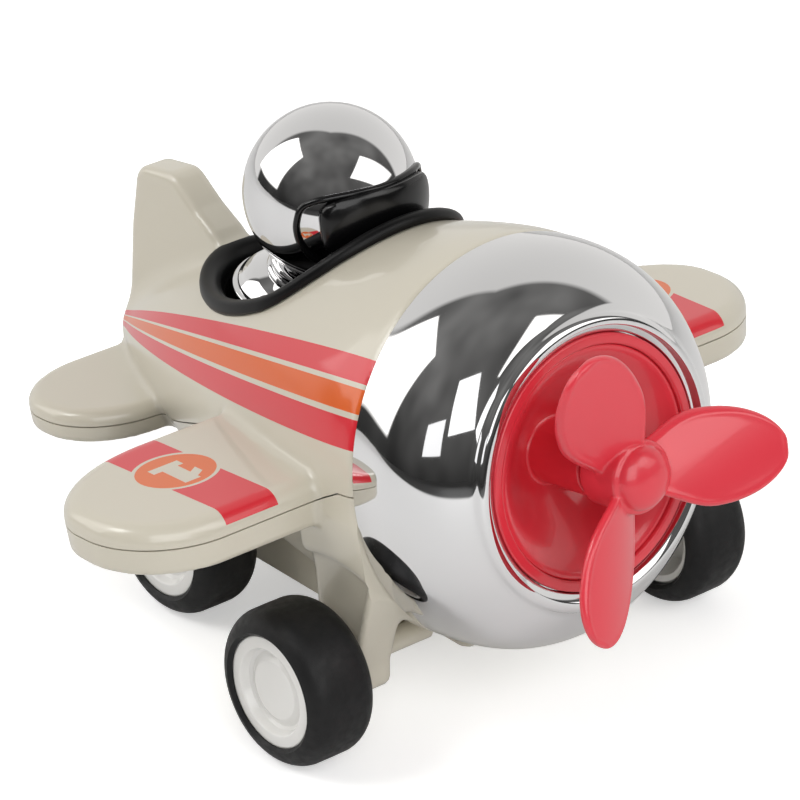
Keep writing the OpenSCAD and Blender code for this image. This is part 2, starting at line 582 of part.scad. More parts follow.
upper_shell();
lower_shell();
front_belly_cover();
rear_belly_cover();
nose_cowl();
spinner_dish();
cockpit_rim();
cockpit_floor();
pilot_body();
pilot_helmet();
pilot_visor();
propeller();
propeller_shaft();
propeller_pinion();
propeller_bush();
gear_frame();
lay_shaft();
lay_top_crown();
lay_bottom_crown();
front_axle();
front_pinion();
front_wheel_hubs();
front_tyres();
rear_axle();
rear_axle_gear();
rear_wheel_hubs();
rear_tyres();
motor_case_right();
motor_case_left();
spring_gear();
spring_arbor();
mainspring();
shell_screws();
cover_screws();
frame_screws();
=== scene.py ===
import json
from math import atan2, cos, degrees, pi, radians, sin, sqrt

import bmesh
import bpy
import numpy as np
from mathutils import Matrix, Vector


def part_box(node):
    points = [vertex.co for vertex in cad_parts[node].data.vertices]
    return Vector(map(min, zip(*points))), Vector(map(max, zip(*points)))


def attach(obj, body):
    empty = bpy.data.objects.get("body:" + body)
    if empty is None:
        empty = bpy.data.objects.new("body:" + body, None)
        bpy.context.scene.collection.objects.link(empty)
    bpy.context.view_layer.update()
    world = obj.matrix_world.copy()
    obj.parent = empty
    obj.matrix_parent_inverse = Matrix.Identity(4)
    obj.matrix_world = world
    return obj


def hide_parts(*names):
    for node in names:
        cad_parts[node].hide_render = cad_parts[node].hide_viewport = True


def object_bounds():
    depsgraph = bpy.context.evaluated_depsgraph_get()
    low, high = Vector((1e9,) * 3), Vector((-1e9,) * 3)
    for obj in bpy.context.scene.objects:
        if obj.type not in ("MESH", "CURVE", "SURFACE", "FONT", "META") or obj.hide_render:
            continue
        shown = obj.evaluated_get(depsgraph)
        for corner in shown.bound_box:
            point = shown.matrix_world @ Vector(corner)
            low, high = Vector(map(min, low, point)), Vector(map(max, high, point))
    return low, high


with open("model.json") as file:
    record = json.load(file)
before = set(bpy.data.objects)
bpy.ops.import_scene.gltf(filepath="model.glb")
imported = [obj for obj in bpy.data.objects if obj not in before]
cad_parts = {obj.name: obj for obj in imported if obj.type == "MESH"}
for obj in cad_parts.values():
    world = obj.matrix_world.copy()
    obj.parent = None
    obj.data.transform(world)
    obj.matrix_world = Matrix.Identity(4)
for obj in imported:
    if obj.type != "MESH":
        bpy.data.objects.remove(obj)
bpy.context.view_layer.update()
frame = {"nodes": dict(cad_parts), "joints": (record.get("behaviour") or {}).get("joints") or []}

# Shapes are worked out in millimetres in the body frame (u forward along the thrust line, y to the left wing,
# w upward, 0 at the middle of the dish rim) or in the ground frame, and written in metres in the CAD frame.
MM = 0.001
JOINTS = {joint["name"]: joint for joint in frame["joints"]}


def joint_place(name):
    return np.array(JOINTS[name]["pos_m"]) / MM


NOSE = joint_place("propeller_spin")
THRUST = JOINTS["propeller_spin"]["axis"]
PITCH = atan2(THRUST[2], THRUST[0])
FRONT_AXLE = joint_place("front_wheel_spin")
REAR_AXLE = joint_place("rear_wheel_spin")


def ground(p):
    """Body frame to ground frame, in millimetres."""
    p = np.asarray(p, float)
    u, y, w = p[..., 0], p[..., 1], p[..., 2]
    return np.stack([NOSE[0] + u * cos(PITCH) - w * sin(PITCH), y, NOSE[2] + u * sin(PITCH) + w * cos(PITCH)], -1)


def body(p):
    """Ground frame to body frame, in millimetres."""
    p = np.asarray(p, float)
    x, y, z = p[..., 0] - NOSE[0], p[..., 1], p[..., 2] - NOSE[2]
    return np.stack([x * cos(PITCH) + z * sin(PITCH), y, z * cos(PITCH) - x * sin(PITCH)], -1)


# ---- mesh helpers ----

def add_mesh(name, verts, faces, materials, smooth=True):
    """A mesh object from ground-frame millimetres."""
    mesh = bpy.data.meshes.new(name)
    mesh.from_pydata([tuple(v) for v in np.asarray(verts) * MM], [], [tuple(f) for f in faces])
    mesh.validate()
    for material in materials if isinstance(materials, list) else [materials]:
        mesh.materials.append(material)
    mesh.shade_smooth() if smooth else mesh.shade_flat()
    piece = bpy.data.objects.new(name, mesh)
    bpy.context.scene.collection.objects.link(piece)
    return piece


def finish_piece(piece, body_name, slot, *nodes):
    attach(piece, body_name)
    if nodes:
        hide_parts(*nodes)
    return piece


def sharpen(piece, angle=32):
    """Smooth faces with a hard edge where they meet at more than this many degrees."""
    piece.data.shade_smooth()
    piece.data.set_sharp_from_angle(angle=radians(angle))


def revolve(profile, count=128):
    """Closed ring of a closed profile [(radius, along)], about the z axis; returns verts and faces."""
    profile = np.asarray(profile, float)
    n = len(profile)
    angles = np.arange(count) * 2 * pi / count
    verts = np.stack([np.outer(np.cos(angles), profile[:, 0]), np.outer(np.sin(angles), profile[:, 0]),
                      np.tile(profile[:, 1], (count, 1))], -1).reshape(-1, 3)
    faces = [(i * n + j, (i + 1) % count * n + j, (i + 1) % count * n + (j + 1) % n, i * n + (j + 1) % n)
             for i in range(count) for j in range(n)]
    return verts, faces


def spin(profile, count=128):
    """Solid of revolution of an open profile that starts and ends on the axis."""
    profile = np.asarray(profile, float)[1:-1]
    ends = np.asarray(profile)
    verts, faces = revolve(profile, count)
    n = len(profile)
    faces = [f for f in faces if (f[0] % n, f[3] % n) != (n - 1, 0)]
    verts = np.vstack([verts, [[0, 0, ends[0, 1]], [0, 0, ends[-1, 1]]]])
    low, high = count * n, count * n + 1
    faces += [(low, (i + 1) % count * n, i * n) for i in range(count)]
    faces += [(high, i * n + n - 1, (i + 1) % count * n + n - 1) for i in range(count)]
    return verts, faces


def along_u(verts):
    """The z axis becomes the thrust line."""
    return ground(np.stack([verts[:, 2], verts[:, 0], verts[:, 1]], -1))


def arc(centre, r, start, end, n=8):
    angles = np.radians(np.linspace(start, end, n + 1))
    return [(centre[0] + r * cos(a), centre[1] + r * sin(a)) for a in angles]


def prism(points, y0, y1):
    """Solid with the outline [(x, z)] between two planes of constant y, in the ground frame."""
    n = len(points)
    verts = [(x, y, z) for y in (y0, y1) for x, z in points]
    faces = [tuple(range(n)), tuple(range(2 * n - 1, n - 1, -1))]
    faces += [(i, n + i, n + (i + 1) % n, (i + 1) % n) for i in range(n)]
    return np.array(verts, float), faces


def block(x0, x1, y0, y1, z0, z1):
    return prism([(x0, z0), (x1, z0), (x1, z1), (x0, z1)], y0, y1)


def rod(p0, p1, r, count=48):
    """Cylinder between two points of the ground frame."""
    p0, p1 = np.array(p0, float), np.array(p1, float)
    axis = (p1 - p0) / np.linalg.norm(p1 - p0)
    side = np.cross(axis, [1, 0, 0] if abs(axis[0]) < 0.9 else [0, 1, 0])
    side /= np.linalg.norm(side)
    other = np.cross(axis, side)
    angles = np.arange(count) * 2 * pi / count
    ring = np.outer(np.cos(angles), side) * r + np.outer(np.sin(angles), other) * r
    faces = [tuple(range(count - 1, -1, -1)), tuple(range(count, 2 * count))]
    faces += [(i, (i + 1) % count, count + (i + 1) % count, count + i) for i in range(count)]
    return np.vstack([ring + p0, ring + p1]), faces


def outward(piece):
    """Turns every face outward."""
    bm = bmesh.new()
    bm.from_mesh(piece.data)
    bmesh.ops.recalc_face_normals(bm, faces=bm.faces)
    bm.to_mesh(piece.data)
    bm.free()


def combine(piece, solids, operation):
    """Applies a boolean of the piece with each solid (verts, faces)."""
    for verts, faces in solids:
        tool = add_mesh("tool", verts, faces, [])
        outward(tool)
        cut = piece.modifiers.new("cut", "BOOLEAN")
        cut.operation = operation
        cut.object = tool
        cut.solver = "MANIFOLD"
        result = bpy.data.meshes.new_from_object(piece.evaluated_get(bpy.context.evaluated_depsgraph_get()))
        if not len(result.polygons):
            cut.solver = "EXACT"
            result = bpy.data.meshes.new_from_object(piece.evaluated_get(bpy.context.evaluated_depsgraph_get()))
        piece.modifiers.clear()
        piece.data = result
        bpy.data.objects.remove(tool)
    return piece


# ---- node helpers ----

class Paint:
    """A Principled material whose inputs are written as expressions of node sockets."""

    def __init__(self, name):
        self.material = bpy.data.materials.new(name)
        self.material.use_nodes = True
        self.tree = self.material.node_tree
        self.shader = self.tree.nodes["Principled BSDF"]
        self.place = self.node("ShaderNodeTexCoord").outputs["Object"]

    def node(self, kind, **settings):
        made = self.tree.nodes.new(kind)
        for key, value in settings.items():
            setattr(made, key, value)
        return made

    def link(self, value, socket):
        if isinstance(value, bpy.types.NodeSocket):
            self.tree.links.new(value, socket)
        else:
            socket.default_value = value

    def math(self, operation, *values):
        made = self.node("ShaderNodeMath", operation=operation)
        for value, socket in zip(values, made.inputs):
            self.link(value, socket)
        return made.outputs[0]

    def dot(self, vector, offset=0.0):
        """place . vector + offset, in millimetres."""
        made = self.node("ShaderNodeVectorMath", operation="DOT_PRODUCT")
        self.link(self.place, made.inputs[0])
        made.inputs[1].default_value = [v / MM for v in vector]
        return self.math("ADD", made.outputs["Value"], offset)

    def body_axes(self):
        """u, |y| and w of the shading point."""
        c, s = cos(PITCH), sin(PITCH)
        u = self.dot((c, 0, s), -(NOSE[0] * c + NOSE[2] * s))
        w = self.dot((-s, 0, c), NOSE[0] * s - NOSE[2] * c)
        return u, self.dot((0, 1, 0)), w

    def between(self, value, low, high):
        return self.math("MULTIPLY", self.math("GREATER_THAN", value, low), self.math("LESS_THAN", value, high))

    def noise(self, scale, detail=3.0, rough=0.5, out="Fac"):
        """Noise with features of about 1/scale millimetres."""
        made = self.node("ShaderNodeTexNoise")
        self.link(self.place, made.inputs["Vector"])
        made.inputs["Scale"].default_value = scale / MM
        made.inputs["Detail"].default_value = detail
        made.inputs["Roughness"].default_value = rough
        return made.outputs[out]

    def ramp(self, value, low, high, out_low, out_high):
        made = self.node("ShaderNodeMapRange")
        for key, v in (("Value", value), ("From Min", low), ("From Max", high), ("To Min", out_low), ("To Max", out_high)):
            self.link(v, made.inputs[key])
        return made.outputs["Result"]

    def mix(self, fac, a, b):
        made = self.node("ShaderNodeMix", data_type="RGBA")
        self.link(fac, made.inputs[0])
        self.link(a, made.inputs[6])
        self.link(b, made.inputs[7])
        return made.outputs[2]

    def bump(self, height, strength, distance):
        made = self.node("ShaderNodeBump")
        made.inputs["Strength"].default_value = strength
        made.inputs["Distance"].default_value = distance * MM
        self.link(height, made.inputs["Height"])
        self.tree.links.new(made.outputs["Normal"], self.shader.inputs["Normal"])

    def set(self, **values):
        for key, value in values.items():
            self.link(value, self.shader.inputs[key.replace("_", " ")])
        return self


def rgb(r, g, b):
    """sRGB 0-255 to linear."""
    return tuple(((v / 255 + 0.055) / 1.055) ** 2.4 for v in (r, g, b)) + (1.0,)


def moulded(name, colour, tint=0.04, roughness=0.3, coat=0.25, ripple=0.1, shine=0.5):
    """Injection-moulded plastic: faint flow marks in the colour, uneven gloss and a slight orange peel."""
    p = Paint(name)
    dark = tuple(c * (1 - tint) for c in colour[:3]) + (1.0,)
    p.set(Base_Color=p.mix(p.noise(0.03, 1), dark, colour),
          Roughness=p.ramp(p.noise(0.06, 1), 0.2, 0.8, roughness - 0.02, roughness + 0.02),
          Specular_IOR_Level=shine, Coat_Weight=coat, Coat_Roughness=0.05)
    p.bump(p.noise(0.5, 1), ripple, 0.03)
    return p


# ---- materials ----

BEIGE = rgb(206, 200, 184)
CORAL = rgb(222, 52, 66)
STRIPE_RED = rgb(212, 34, 48)
STRIPE_ORANGE = rgb(218, 92, 0)
DISC_ORANGE = rgb(220, 100, 22)

# Stripes along both flanks, as bands of the angle above the wing plane, in degrees.
STRIPES = [(14.2, 22.6, STRIPE_RED), (24.2, 31.0, STRIPE_ORANGE), (32.4, 39.4, STRIPE_RED)]
STRIPE_END_U = -109
WING_MID_U, WING_SLOPE, WING_UP = -39.75, 0.088, 3.3
BAND_Y, BAND_SLANT, BAND_HALF = 41.9, 0.04, 4.6
LEFT_SHIFT = 2.8                                     # the left wing's print sits further out
DISC_U, DISC_Y, DISC_RU, DISC_RY, DISC_RING = -41.5, 42.1, 5.2, 6.1, 0.62


def shell_material():
    """Beige plastic with printed stripes on the flanks and a band, a disc and a numeral 1 on each wing."""
    p = moulded("shell_beige", BEIGE, tint=0.02, roughness=0.3, coat=0.55, ripple=0.06)
    u, y, w = p.body_axes()
    side = p.math("ABSOLUTE", y)
    base = p.shader.inputs["Base Color"].links[0].from_socket
    angle = p.math("DEGREES", p.math("ARCTAN2", w, side))
    flank = p.math("MULTIPLY", p.between(u, STRIPE_END_U, -10), p.math("LESS_THAN", side, 29.95))
    for low, high, colour in STRIPES:
        base = p.mix(p.math("MULTIPLY", p.between(angle, low, high), flank), base, colour)
    side = p.math("SUBTRACT", side, p.math("MULTIPLY", p.math("GREATER_THAN", y, 0), LEFT_SHIFT))
    # Height above the wing's parting plane.
    rise = p.math("ADD", w, p.math("MULTIPLY", p.math("SUBTRACT", u, WING_MID_U), WING_SLOPE))
    on_wing = p.math("MULTIPLY", p.math("GREATER_THAN", rise, 1.5), p.math("GREATER_THAN", side, 30))
    drift = p.math("MULTIPLY", p.math("SUBTRACT", u, DISC_U), BAND_SLANT)
    band = p.math("ABSOLUTE", p.math("SUBTRACT", side, p.math("SUBTRACT", BAND_Y, drift)))
    du = p.math("DIVIDE", p.math("SUBTRACT", u, DISC_U), DISC_RU)
    dy = p.math("DIVIDE", p.math("SUBTRACT", side, DISC_Y), DISC_RY)
    disc = p.math("SQRT", p.math("ADD", p.math("MULTIPLY", du, du), p.math("MULTIPLY", dy, dy)))
    ring = 1 + DISC_RING / DISC_RY
    outside = p.math("GREATER_THAN", disc, ring)
    band = p.math("MULTIPLY", p.math("LESS_THAN", band, BAND_HALF), outside)
    base = p.mix(p.math("MULTIPLY", band, on_wing), base, STRIPE_RED)
    # Numeral 1 with its foot towards the trailing edge: foot, stem and a slanted flag.
    across = p.math("MULTIPLY", p.math("SUBTRACT", side, DISC_Y), p.math("SIGN", y))
    reach = p.math("SUBTRACT", u, DISC_U)
    foot = p.math("MULTIPLY", p.between(reach, -2.7, -1.2), p.between(across, -2.9, 2.3))
    stem = p.math("MULTIPLY", p.between(reach, -2.7, 4.1), p.between(across, -1.4, 1.3))
    slant = p.math("SUBTRACT", reach, p.math("MULTIPLY", across, -0.6))
    flag = p.math("MULTIPLY", p.between(slant, 2.5, 4.2), p.between(across, -0.3, 2.8))
    flag = p.math("MULTIPLY", flag, p.math("LESS_THAN", reach, 4.1))
    numeral = p.math("MAXIMUM", p.math("MAXIMUM", foot, stem), flag)
    disc = p.math("MULTIPLY", p.math("LESS_THAN", disc, 1), p.math("SUBTRACT", 1, numeral))
    base = p.mix(p.math("MULTIPLY", disc, on_wing), base, DISC_ORANGE)
    p.set(Base_Color=base)
    return p.material


def chrome_material():
    """Vacuum-plated plastic: a mirror with a faint waviness and a haze of fine marks."""
    p = Paint("chrome")
    p.set(Metallic=1.0, Base_Color=p.mix(p.noise(0.05, 1), rgb(224, 224, 225), rgb(230, 230, 231)),
          Roughness=p.ramp(p.noise(0.15, 2), 0.3, 0.7, 0.03, 0.055))
    p.bump(p.noise(0.1, 1), 0.14, 0.2)
    return p.material


def rubber_material():
    """Soft black rubber with a fine grain and scattered pores."""
    p = Paint("tyre_rubber")
    p.set(Base_Color=p.mix(p.noise(0.3, 4), rgb(12, 12, 13), rgb(22, 22, 23)),
          Roughness=p.ramp(p.noise(0.8, 4), 0.3, 0.7, 0.42, 0.6), Specular_IOR_Level=0.3)
    fine = p.math("ADD", p.noise(4.5, 4), p.math("MULTIPLY", p.noise(1.3, 2), 0.6))
    p.bump(fine, 0.35, 0.06)
    return p.material


def metal_material(name, colour, roughness, streak=3.0):
    """Turned or drawn metal: fine scratches in the roughness and the surface."""
    p = Paint(name)
    dark = tuple(c * 0.85 for c in colour[:3]) + (1.0,)
    p.set(Metallic=1.0, Base_Color=p.mix(p.noise(0.5), dark, colour),
          Roughness=p.ramp(p.noise(streak, 5), 0.3, 0.7, roughness - 0.08, roughness + 0.1))
    p.bump(p.noise(streak * 2, 3), 0.15, 0.02)
    return p.material


MATERIALS = {
    "shell_beige": shell_material(),
    "chrome": chrome_material(),
    "dish_red": moulded("dish_red", CORAL, 0.05, 0.3, 0.45, 0.08).material,
    "propeller_red": moulded("propeller_red", rgb(226, 58, 72), 0.04, 0.32, 0.4, 0.08).material,
    "trim_black": moulded("trim_black", rgb(9, 9, 10), 0.2, 0.4, 0.0, 0.1, 0.2).material,
    "visor_black": moulded("visor_black", rgb(8, 8, 9), 0.2, 0.22, 0.1, 0.06, 0.35).material,
    "hub_white": moulded("hub_white", rgb(232, 231, 228), 0.02, 0.25, 0.3, 0.08).material,
    "gear_plastic": moulded("gear_plastic", rgb(226, 220, 204), 0.05, 0.4, 0.05).material,
    "frame_plastic": moulded("frame_plastic", rgb(66, 68, 72), 0.08, 0.45, 0.05).material,
    "motor_case": moulded("motor_case", rgb(72, 104, 150), 0.06, 0.35, 0.1).material,
    "tyre_rubber": rubber_material(),
    "steel": metal_material("steel", rgb(190, 190, 194), 0.28),
    "screw_steel": metal_material("screw_steel", rgb(170, 170, 174), 0.33),
    "spring_steel": metal_material("spring_steel", rgb(120, 122, 130), 0.3),
    "brass": metal_material("brass", rgb(205, 168, 92), 0.3),
}


# ---- shells: one smooth body, meshed from its distance field ----

BODY_R, TAPER_U, TAPER_LEN, SEAM_U = 29.8, -22.0, 88.0, -17.5
TAIL_U = TAPER_U - TAPER_LEN
WALL = 1.8
EDGE_LEN, EDGE_DEEP = 1.9, 0.55                     # rounded front edge of the shells at the cowl
# The tips have elliptical corners, each sized along u and along y.
WING = dict(le=-25.5, chord=28.5, tip=60.5, corner_le=(13, 14), corner_te=(13.5, 21), up=3.3, down=3.9, round_top=2.5)
TAIL = dict(le=-83.6, chord=22.6, tip=28.0, corner_le=(11, 13), corner_te=(10.5, 14), up=2.3, down=2.6, round_top=1.8)
TAIL_MID_U, TAIL_W = -94.9, -5.0
FIN_T = 6.0
LEG_IN_Y, LEG_OUT_Y = 21.9, 29.4
AXLE_X, AXLE_Z = FRONT_AXLE[0], FRONT_AXLE[2]


def smooth_min(a, b, k):
    h = np.clip(0.5 + 0.5 * (b - a) / k, 0, 1)
    return b + (a - b) * h - k * h * (1 - h)


def smooth_max(a, b, k):
    return -smooth_min(-a, -b, k)


def body_radius(u):
    along = np.clip((TAPER_U - u) / TAPER_LEN, 0, 0.9999)
    r = BODY_R * (1 - along ** 1.4) ** 0.75
    edge = np.clip((u - (SEAM_U - EDGE_LEN)) / EDGE_LEN, 0, 1)
    return r - EDGE_DEEP * (1 - np.sqrt(1 - edge ** 2 * 0.98))


def plan_distance(u, y, s):
    """Distance to the plan of a wing: a box whose tip has elliptical corners."""
    mid, half = s["le"] - s["chord"] / 2, s["chord"] / 2
    front = u > mid
    size_u = np.where(front, s["corner_le"][0], s["corner_te"][0])
    size_y = np.where(front, s["corner_le"][1], s["corner_te"][1])
    a, b = np.abs(u - mid) - half + size_u, y - s["tip"] + size_y
    x, z = np.maximum(a, 0.01) / size_u, np.maximum(b, 0.01) / size_y
    reach = np.hypot(x, z)
    corner = reach * (reach - 1) / np.hypot(x / size_u, z / size_y)
    return np.where((a > 0) & (b > 0), corner, np.maximum(a - size_u, b - size_y))


def slab_distance(u, y, w, s, mid_u, mid_w):
    """Wing or tailplane: round upper edges, drafted lower edges. w is measured from the sloping parting plane."""
    rise = w - mid_w + WING_SLOPE * (u - mid_u)
    plan = plan_distance(u, y, s)
    r = s["round_top"]
    a, b = plan + r, rise - s["up"] + r
    top = np.minimum(np.maximum(a, b), 0) + np.hypot(np.maximum(a, 0), np.maximum(b, 0)) - r
    q = 0.7
    a, b = plan - 0.08 * rise + q, -rise - s["down"] + q
    low = np.minimum(np.maximum(a, b), 0) + np.hypot(np.maximum(a, 0), np.maximum(b, 0)) - q
    return np.maximum(top, low)


FIN_OUTLINE = [(-70, -4), (-70, 11), (-76, 15.5), (-80.4, 20.0), (-84.3, 22.9)]
FIN_OUTLINE += arc((-90.6, 24.2), 3.5, 45, 90, 4) + arc((-95.8, 24.5), 3.2, 92, 170, 6)
FIN_OUTLINE += [(-101.2, 18), (-103.6, 7), (-104.3, -4)]


def outline_distance(u, w, outline):
    """Signed distance to a polygon."""
    points = np.array(outline, float)
    best = np.full(u.shape, 1e9, np.float32)
    inside = np.zeros(u.shape, bool)
    for (ax, ay), (bx, by) in zip(points, np.roll(points, -1, 0)):
        ex, ey = bx - ax, by - ay
        px, py = u - ax, w - ay
        t = np.clip((px * ex + py * ey) / (ex * ex + ey * ey), 0, 1)
        best = np.minimum(best, (px - ex * t) ** 2 + (py - ey * t) ** 2)
        crossing = ((ay <= w) & (by > w)) | ((by <= w) & (ay > w))
        with np.errstate(divide="ignore", invalid="ignore"):
            inside ^= crossing & (px < ex * (py / ey) if ey else False)
    return np.where(inside, -1, 1) * np.sqrt(best)


def fin_distance(u, y, w):
    edge = 1.3
    # The fin thickens towards its foot.
    half = FIN_T / 2 + 0.02 * np.maximum(28 - w, 0)
    a, b = outline_distance(u, w, FIN_OUTLINE) + edge, y - half + edge
    return np.minimum(np.maximum(a, b), 0) + np.hypot(np.maximum(a, 0), np.maximum(b, 0)) - edge


def fuselage_distance(u, y, w):
    radial = np.hypot(y, w) - body_radius(u)
    tail = TAIL_U - u
    return smooth_max(radial, tail, 2.5)


def leg_distance(u, y, w):
    p = ground(np.stack([u, y, w], -1))
    x, z = p[..., 0] - AXLE_X, p[..., 2] - AXLE_Z
    rise = np.maximum(z, 0)
    # Side outline: a foot under the axle with round corners, wider towards the top.
    corner = 1.8
    a = np.abs(x + 0.8 - 0.07 * rise) - 5.0 - 0.19 * rise + corner
    b = -4.4 - z + corner
    side = np.minimum(np.maximum(a, b), 0) + np.hypot(np.maximum(a, 0), np.maximum(b, 0)) - corner
    side = np.maximum(side, z - 25)
    edge = 1.3
    mid, half = (LEG_IN_Y + LEG_OUT_Y) / 2, (LEG_OUT_Y - LEG_IN_Y) / 2
    a, b = side + edge, np.abs(y - mid) - half + edge
    leg = np.minimum(np.maximum(a, b), 0) + np.hypot(np.maximum(a, 0), np.maximum(b, 0)) - edge
    # Scoop behind the tyre, which leaves a thin lip along the front edge.
    scoop = np.maximum(x - 2.6 - 0.26 * rise, LEG_OUT_Y - 1.8 - y)
    return smooth_max(leg, -np.maximum(scoop, np.hypot(x, z) - 16.5), 2.0)


def hull_distance(u, y, w):
    """Field of the whole body outside, for y >= 0; negative inside."""
    form = fuselage_distance(u, y, w)
    form = smooth_min(form, slab_distance(u, y, w, WING, WING_MID_U, 0.0), 1.6)
    form = smooth_min(form, slab_distance(u, y, w, TAIL, TAIL_MID_U, TAIL_W), 1.6)
    form = smooth_min(form, fin_distance(u, y, w), 3.0)
    return smooth_min(form, leg_distance(u, y, w), 2.2)


def surface_net(values, low, step):
    """Quads of the zero surface of a grid, one vertex per crossed cell."""
    shape = np.array(values.shape)
    cells = shape - 1
    sums, counts = np.zeros((int(np.prod(cells)), 3)), np.zeros(int(np.prod(cells)))
    quads = []
    for axis in range(3):
        first = values[tuple(slice(0, -1) if i == axis else slice(None) for i in range(3))]
        second = values[tuple(slice(1, None) if i == axis else slice(None) for i in range(3))]
        at = np.argwhere((first < 0) != (second < 0))
        a, b = first[tuple(at.T)], second[tuple(at.T)]
        point = at.astype(float)
        point[:, axis] += a / (a - b)
        p, q = [i for i in range(3) if i != axis]
        keep = (at[:, p] > 0) & (at[:, q] > 0) & (at[:, p] < cells[p]) & (at[:, q] < cells[q])
        at, point, a = at[keep], point[keep], a[keep]
        corners = []
        for dp, dq in ((0, 0), (1, 0), (1, 1), (0, 1)):
            cell = at.copy()
            cell[:, p] -= dp
            cell[:, q] -= dq
            index = np.ravel_multi_index(cell.T, cells)
            np.add.at(sums, index, point)
            np.add.at(counts, index, 1)
            corners.append(index)
        corners = np.stack(corners, 1)
        turn = (a < 0) ^ (axis == 1)
        corners[turn] = corners[turn][:, ::-1]
        quads.append(corners)
    quads = np.vstack(quads)
    used = np.flatnonzero(counts)
    number = np.full(len(counts), -1)
    number[used] = np.arange(len(used))
    return low + sums[used] / counts[used, None] * step, number[quads]


def gradient(field, p, h=0.05):
    grad = np.empty_like(p)
    for i in range(3):
        d = np.zeros(3)
        d[i] = h
        grad[:, i] = (field(p + d) - field(p - d)) / (2 * h)
    return grad


def hull_field(p):
    return hull_distance(p[:, 0], np.abs(p[:, 1]), p[:, 2])


def hull_mesh():
    """The outside of the body, in body-frame millimetres."""
    step = 0.6
    low = np.array([TAIL_U - 2, 0, -38.0])
    high = np.array([SEAM_U + 4, WING["tip"] + 2, 32.0])
    u, y, w = [np.arange(low[i], high[i] + step, step, dtype=np.float32) for i in range(3)]
    half = hull_distance(*np.meshgrid(u, y, w, indexing="ij"))
    values = np.concatenate([half[:, :0:-1], half], 1)
    # The front is closed by a plane that the cut at the seam removes.
    values[-1] = np.maximum(values[-1], 1)
    verts, quads = surface_net(values, np.array([low[0], -y[-1], low[2]]), step)
    for _ in range(3):
        grad = gradient(hull_field, verts)
        size = np.maximum((grad ** 2).sum(1), 0.05)
        move = -(hull_field(verts) / size)[:, None] * grad
        length = np.maximum(np.linalg.norm(move, axis=1, keepdims=True), 1e-9)
        verts += move * np.minimum(1, 0.5 * step / length)
    verts[:, 0] = np.minimum(verts[:, 0], SEAM_U + 3)
    return verts, quads


def wing_line(u):
    return -WING_SLOPE * (u - WING_MID_U)


def tail_line(u):
    return TAIL_W - WING_SLOPE * (u - TAIL_MID_U)


def parting(gap, up):
    """Prism above (or below) the parting of the shells, in the ground frame."""
    limit = 60 if up else -60
    line = [(5, 0.6), (-21, 0.6), (-25.5, wing_line(-25.5)), (-56, wing_line(-56))]
    line += [(-81, tail_line(-81)), (-130, tail_line(-130))]
    points = [(u, w + gap) for u, w in line] + [(-130, limit), (5, limit)]
    n = len(points)
    verts = ground([(u, y, w) for y in (-80, 80) for u, w in points])
    faces = [tuple(range(n)), tuple(range(2 * n - 1, n - 1, -1))]
    return verts, faces + [(i, n + i, n + (i + 1) % n, (i + 1) % n) for i in range(n)]


COCKPIT_U, RIM_FRONT, RIM_BACK, RIM_HALF_W = -51.0, 15.5, 29.0, 18.1


def rim_point(a, inset):
    """Point of the egg-shaped outline of the cockpit rim."""
    return COCKPIT_U + ((RIM_FRONT if cos(a) > 0 else RIM_BACK) - inset) * cos(a), (RIM_HALF_W - inset) * sin(a)


def oval_tube(inset, w0, w1, count=96):
    ring = [rim_point(a, inset) for a in np.arange(count) * 2 * pi / count]
    verts = ground([(u, y, w) for w in (w0, w1) for u, y in ring])
    faces = [tuple(range(count - 1, -1, -1)), tuple(range(count, 2 * count))]
    return verts, faces + [(i, (i + 1) % count, count + (i + 1) % count, count + i) for i in range(count)]


def cavity():
    """Inside of the fuselage."""
    stations = np.linspace(SEAM_U - EDGE_LEN, -104, 40)
    profile = [(0, SEAM_U + 6), (BODY_R - WALL - 0.2, SEAM_U + 6)]
    profile += [(max(0.4, float(body_radius(u)) - WALL), u) for u in stations] + [(0, -104.5)]
    verts, faces = spin(profile, 96)
    return along_u(verts), faces


def mirrored(solid):
    verts, faces = solid
    return np.asarray(verts) * [1, -1, 1], [tuple(reversed(f)) for f in faces]


def tube_w(u, y, w0, w1, r):
    return rod(ground([u, y, w0]), ground([u, y, w1]), r)


# Front belly cover: a wide part behind the axle and a keel under the axle gears.
BELLY_BACK, WIDE_BACK, BELLY_HALF, BELLY_Z = 11.0, 2.4, 12.0, 9.0
KEEL_BACK, KEEL_AHEAD, KEEL_HALF, KEEL_Z = 8.0, 4.9, 7.6, 7.0
BOW_R = 3.6
SHELF_Z, COVER_T = 12.55, 1.2


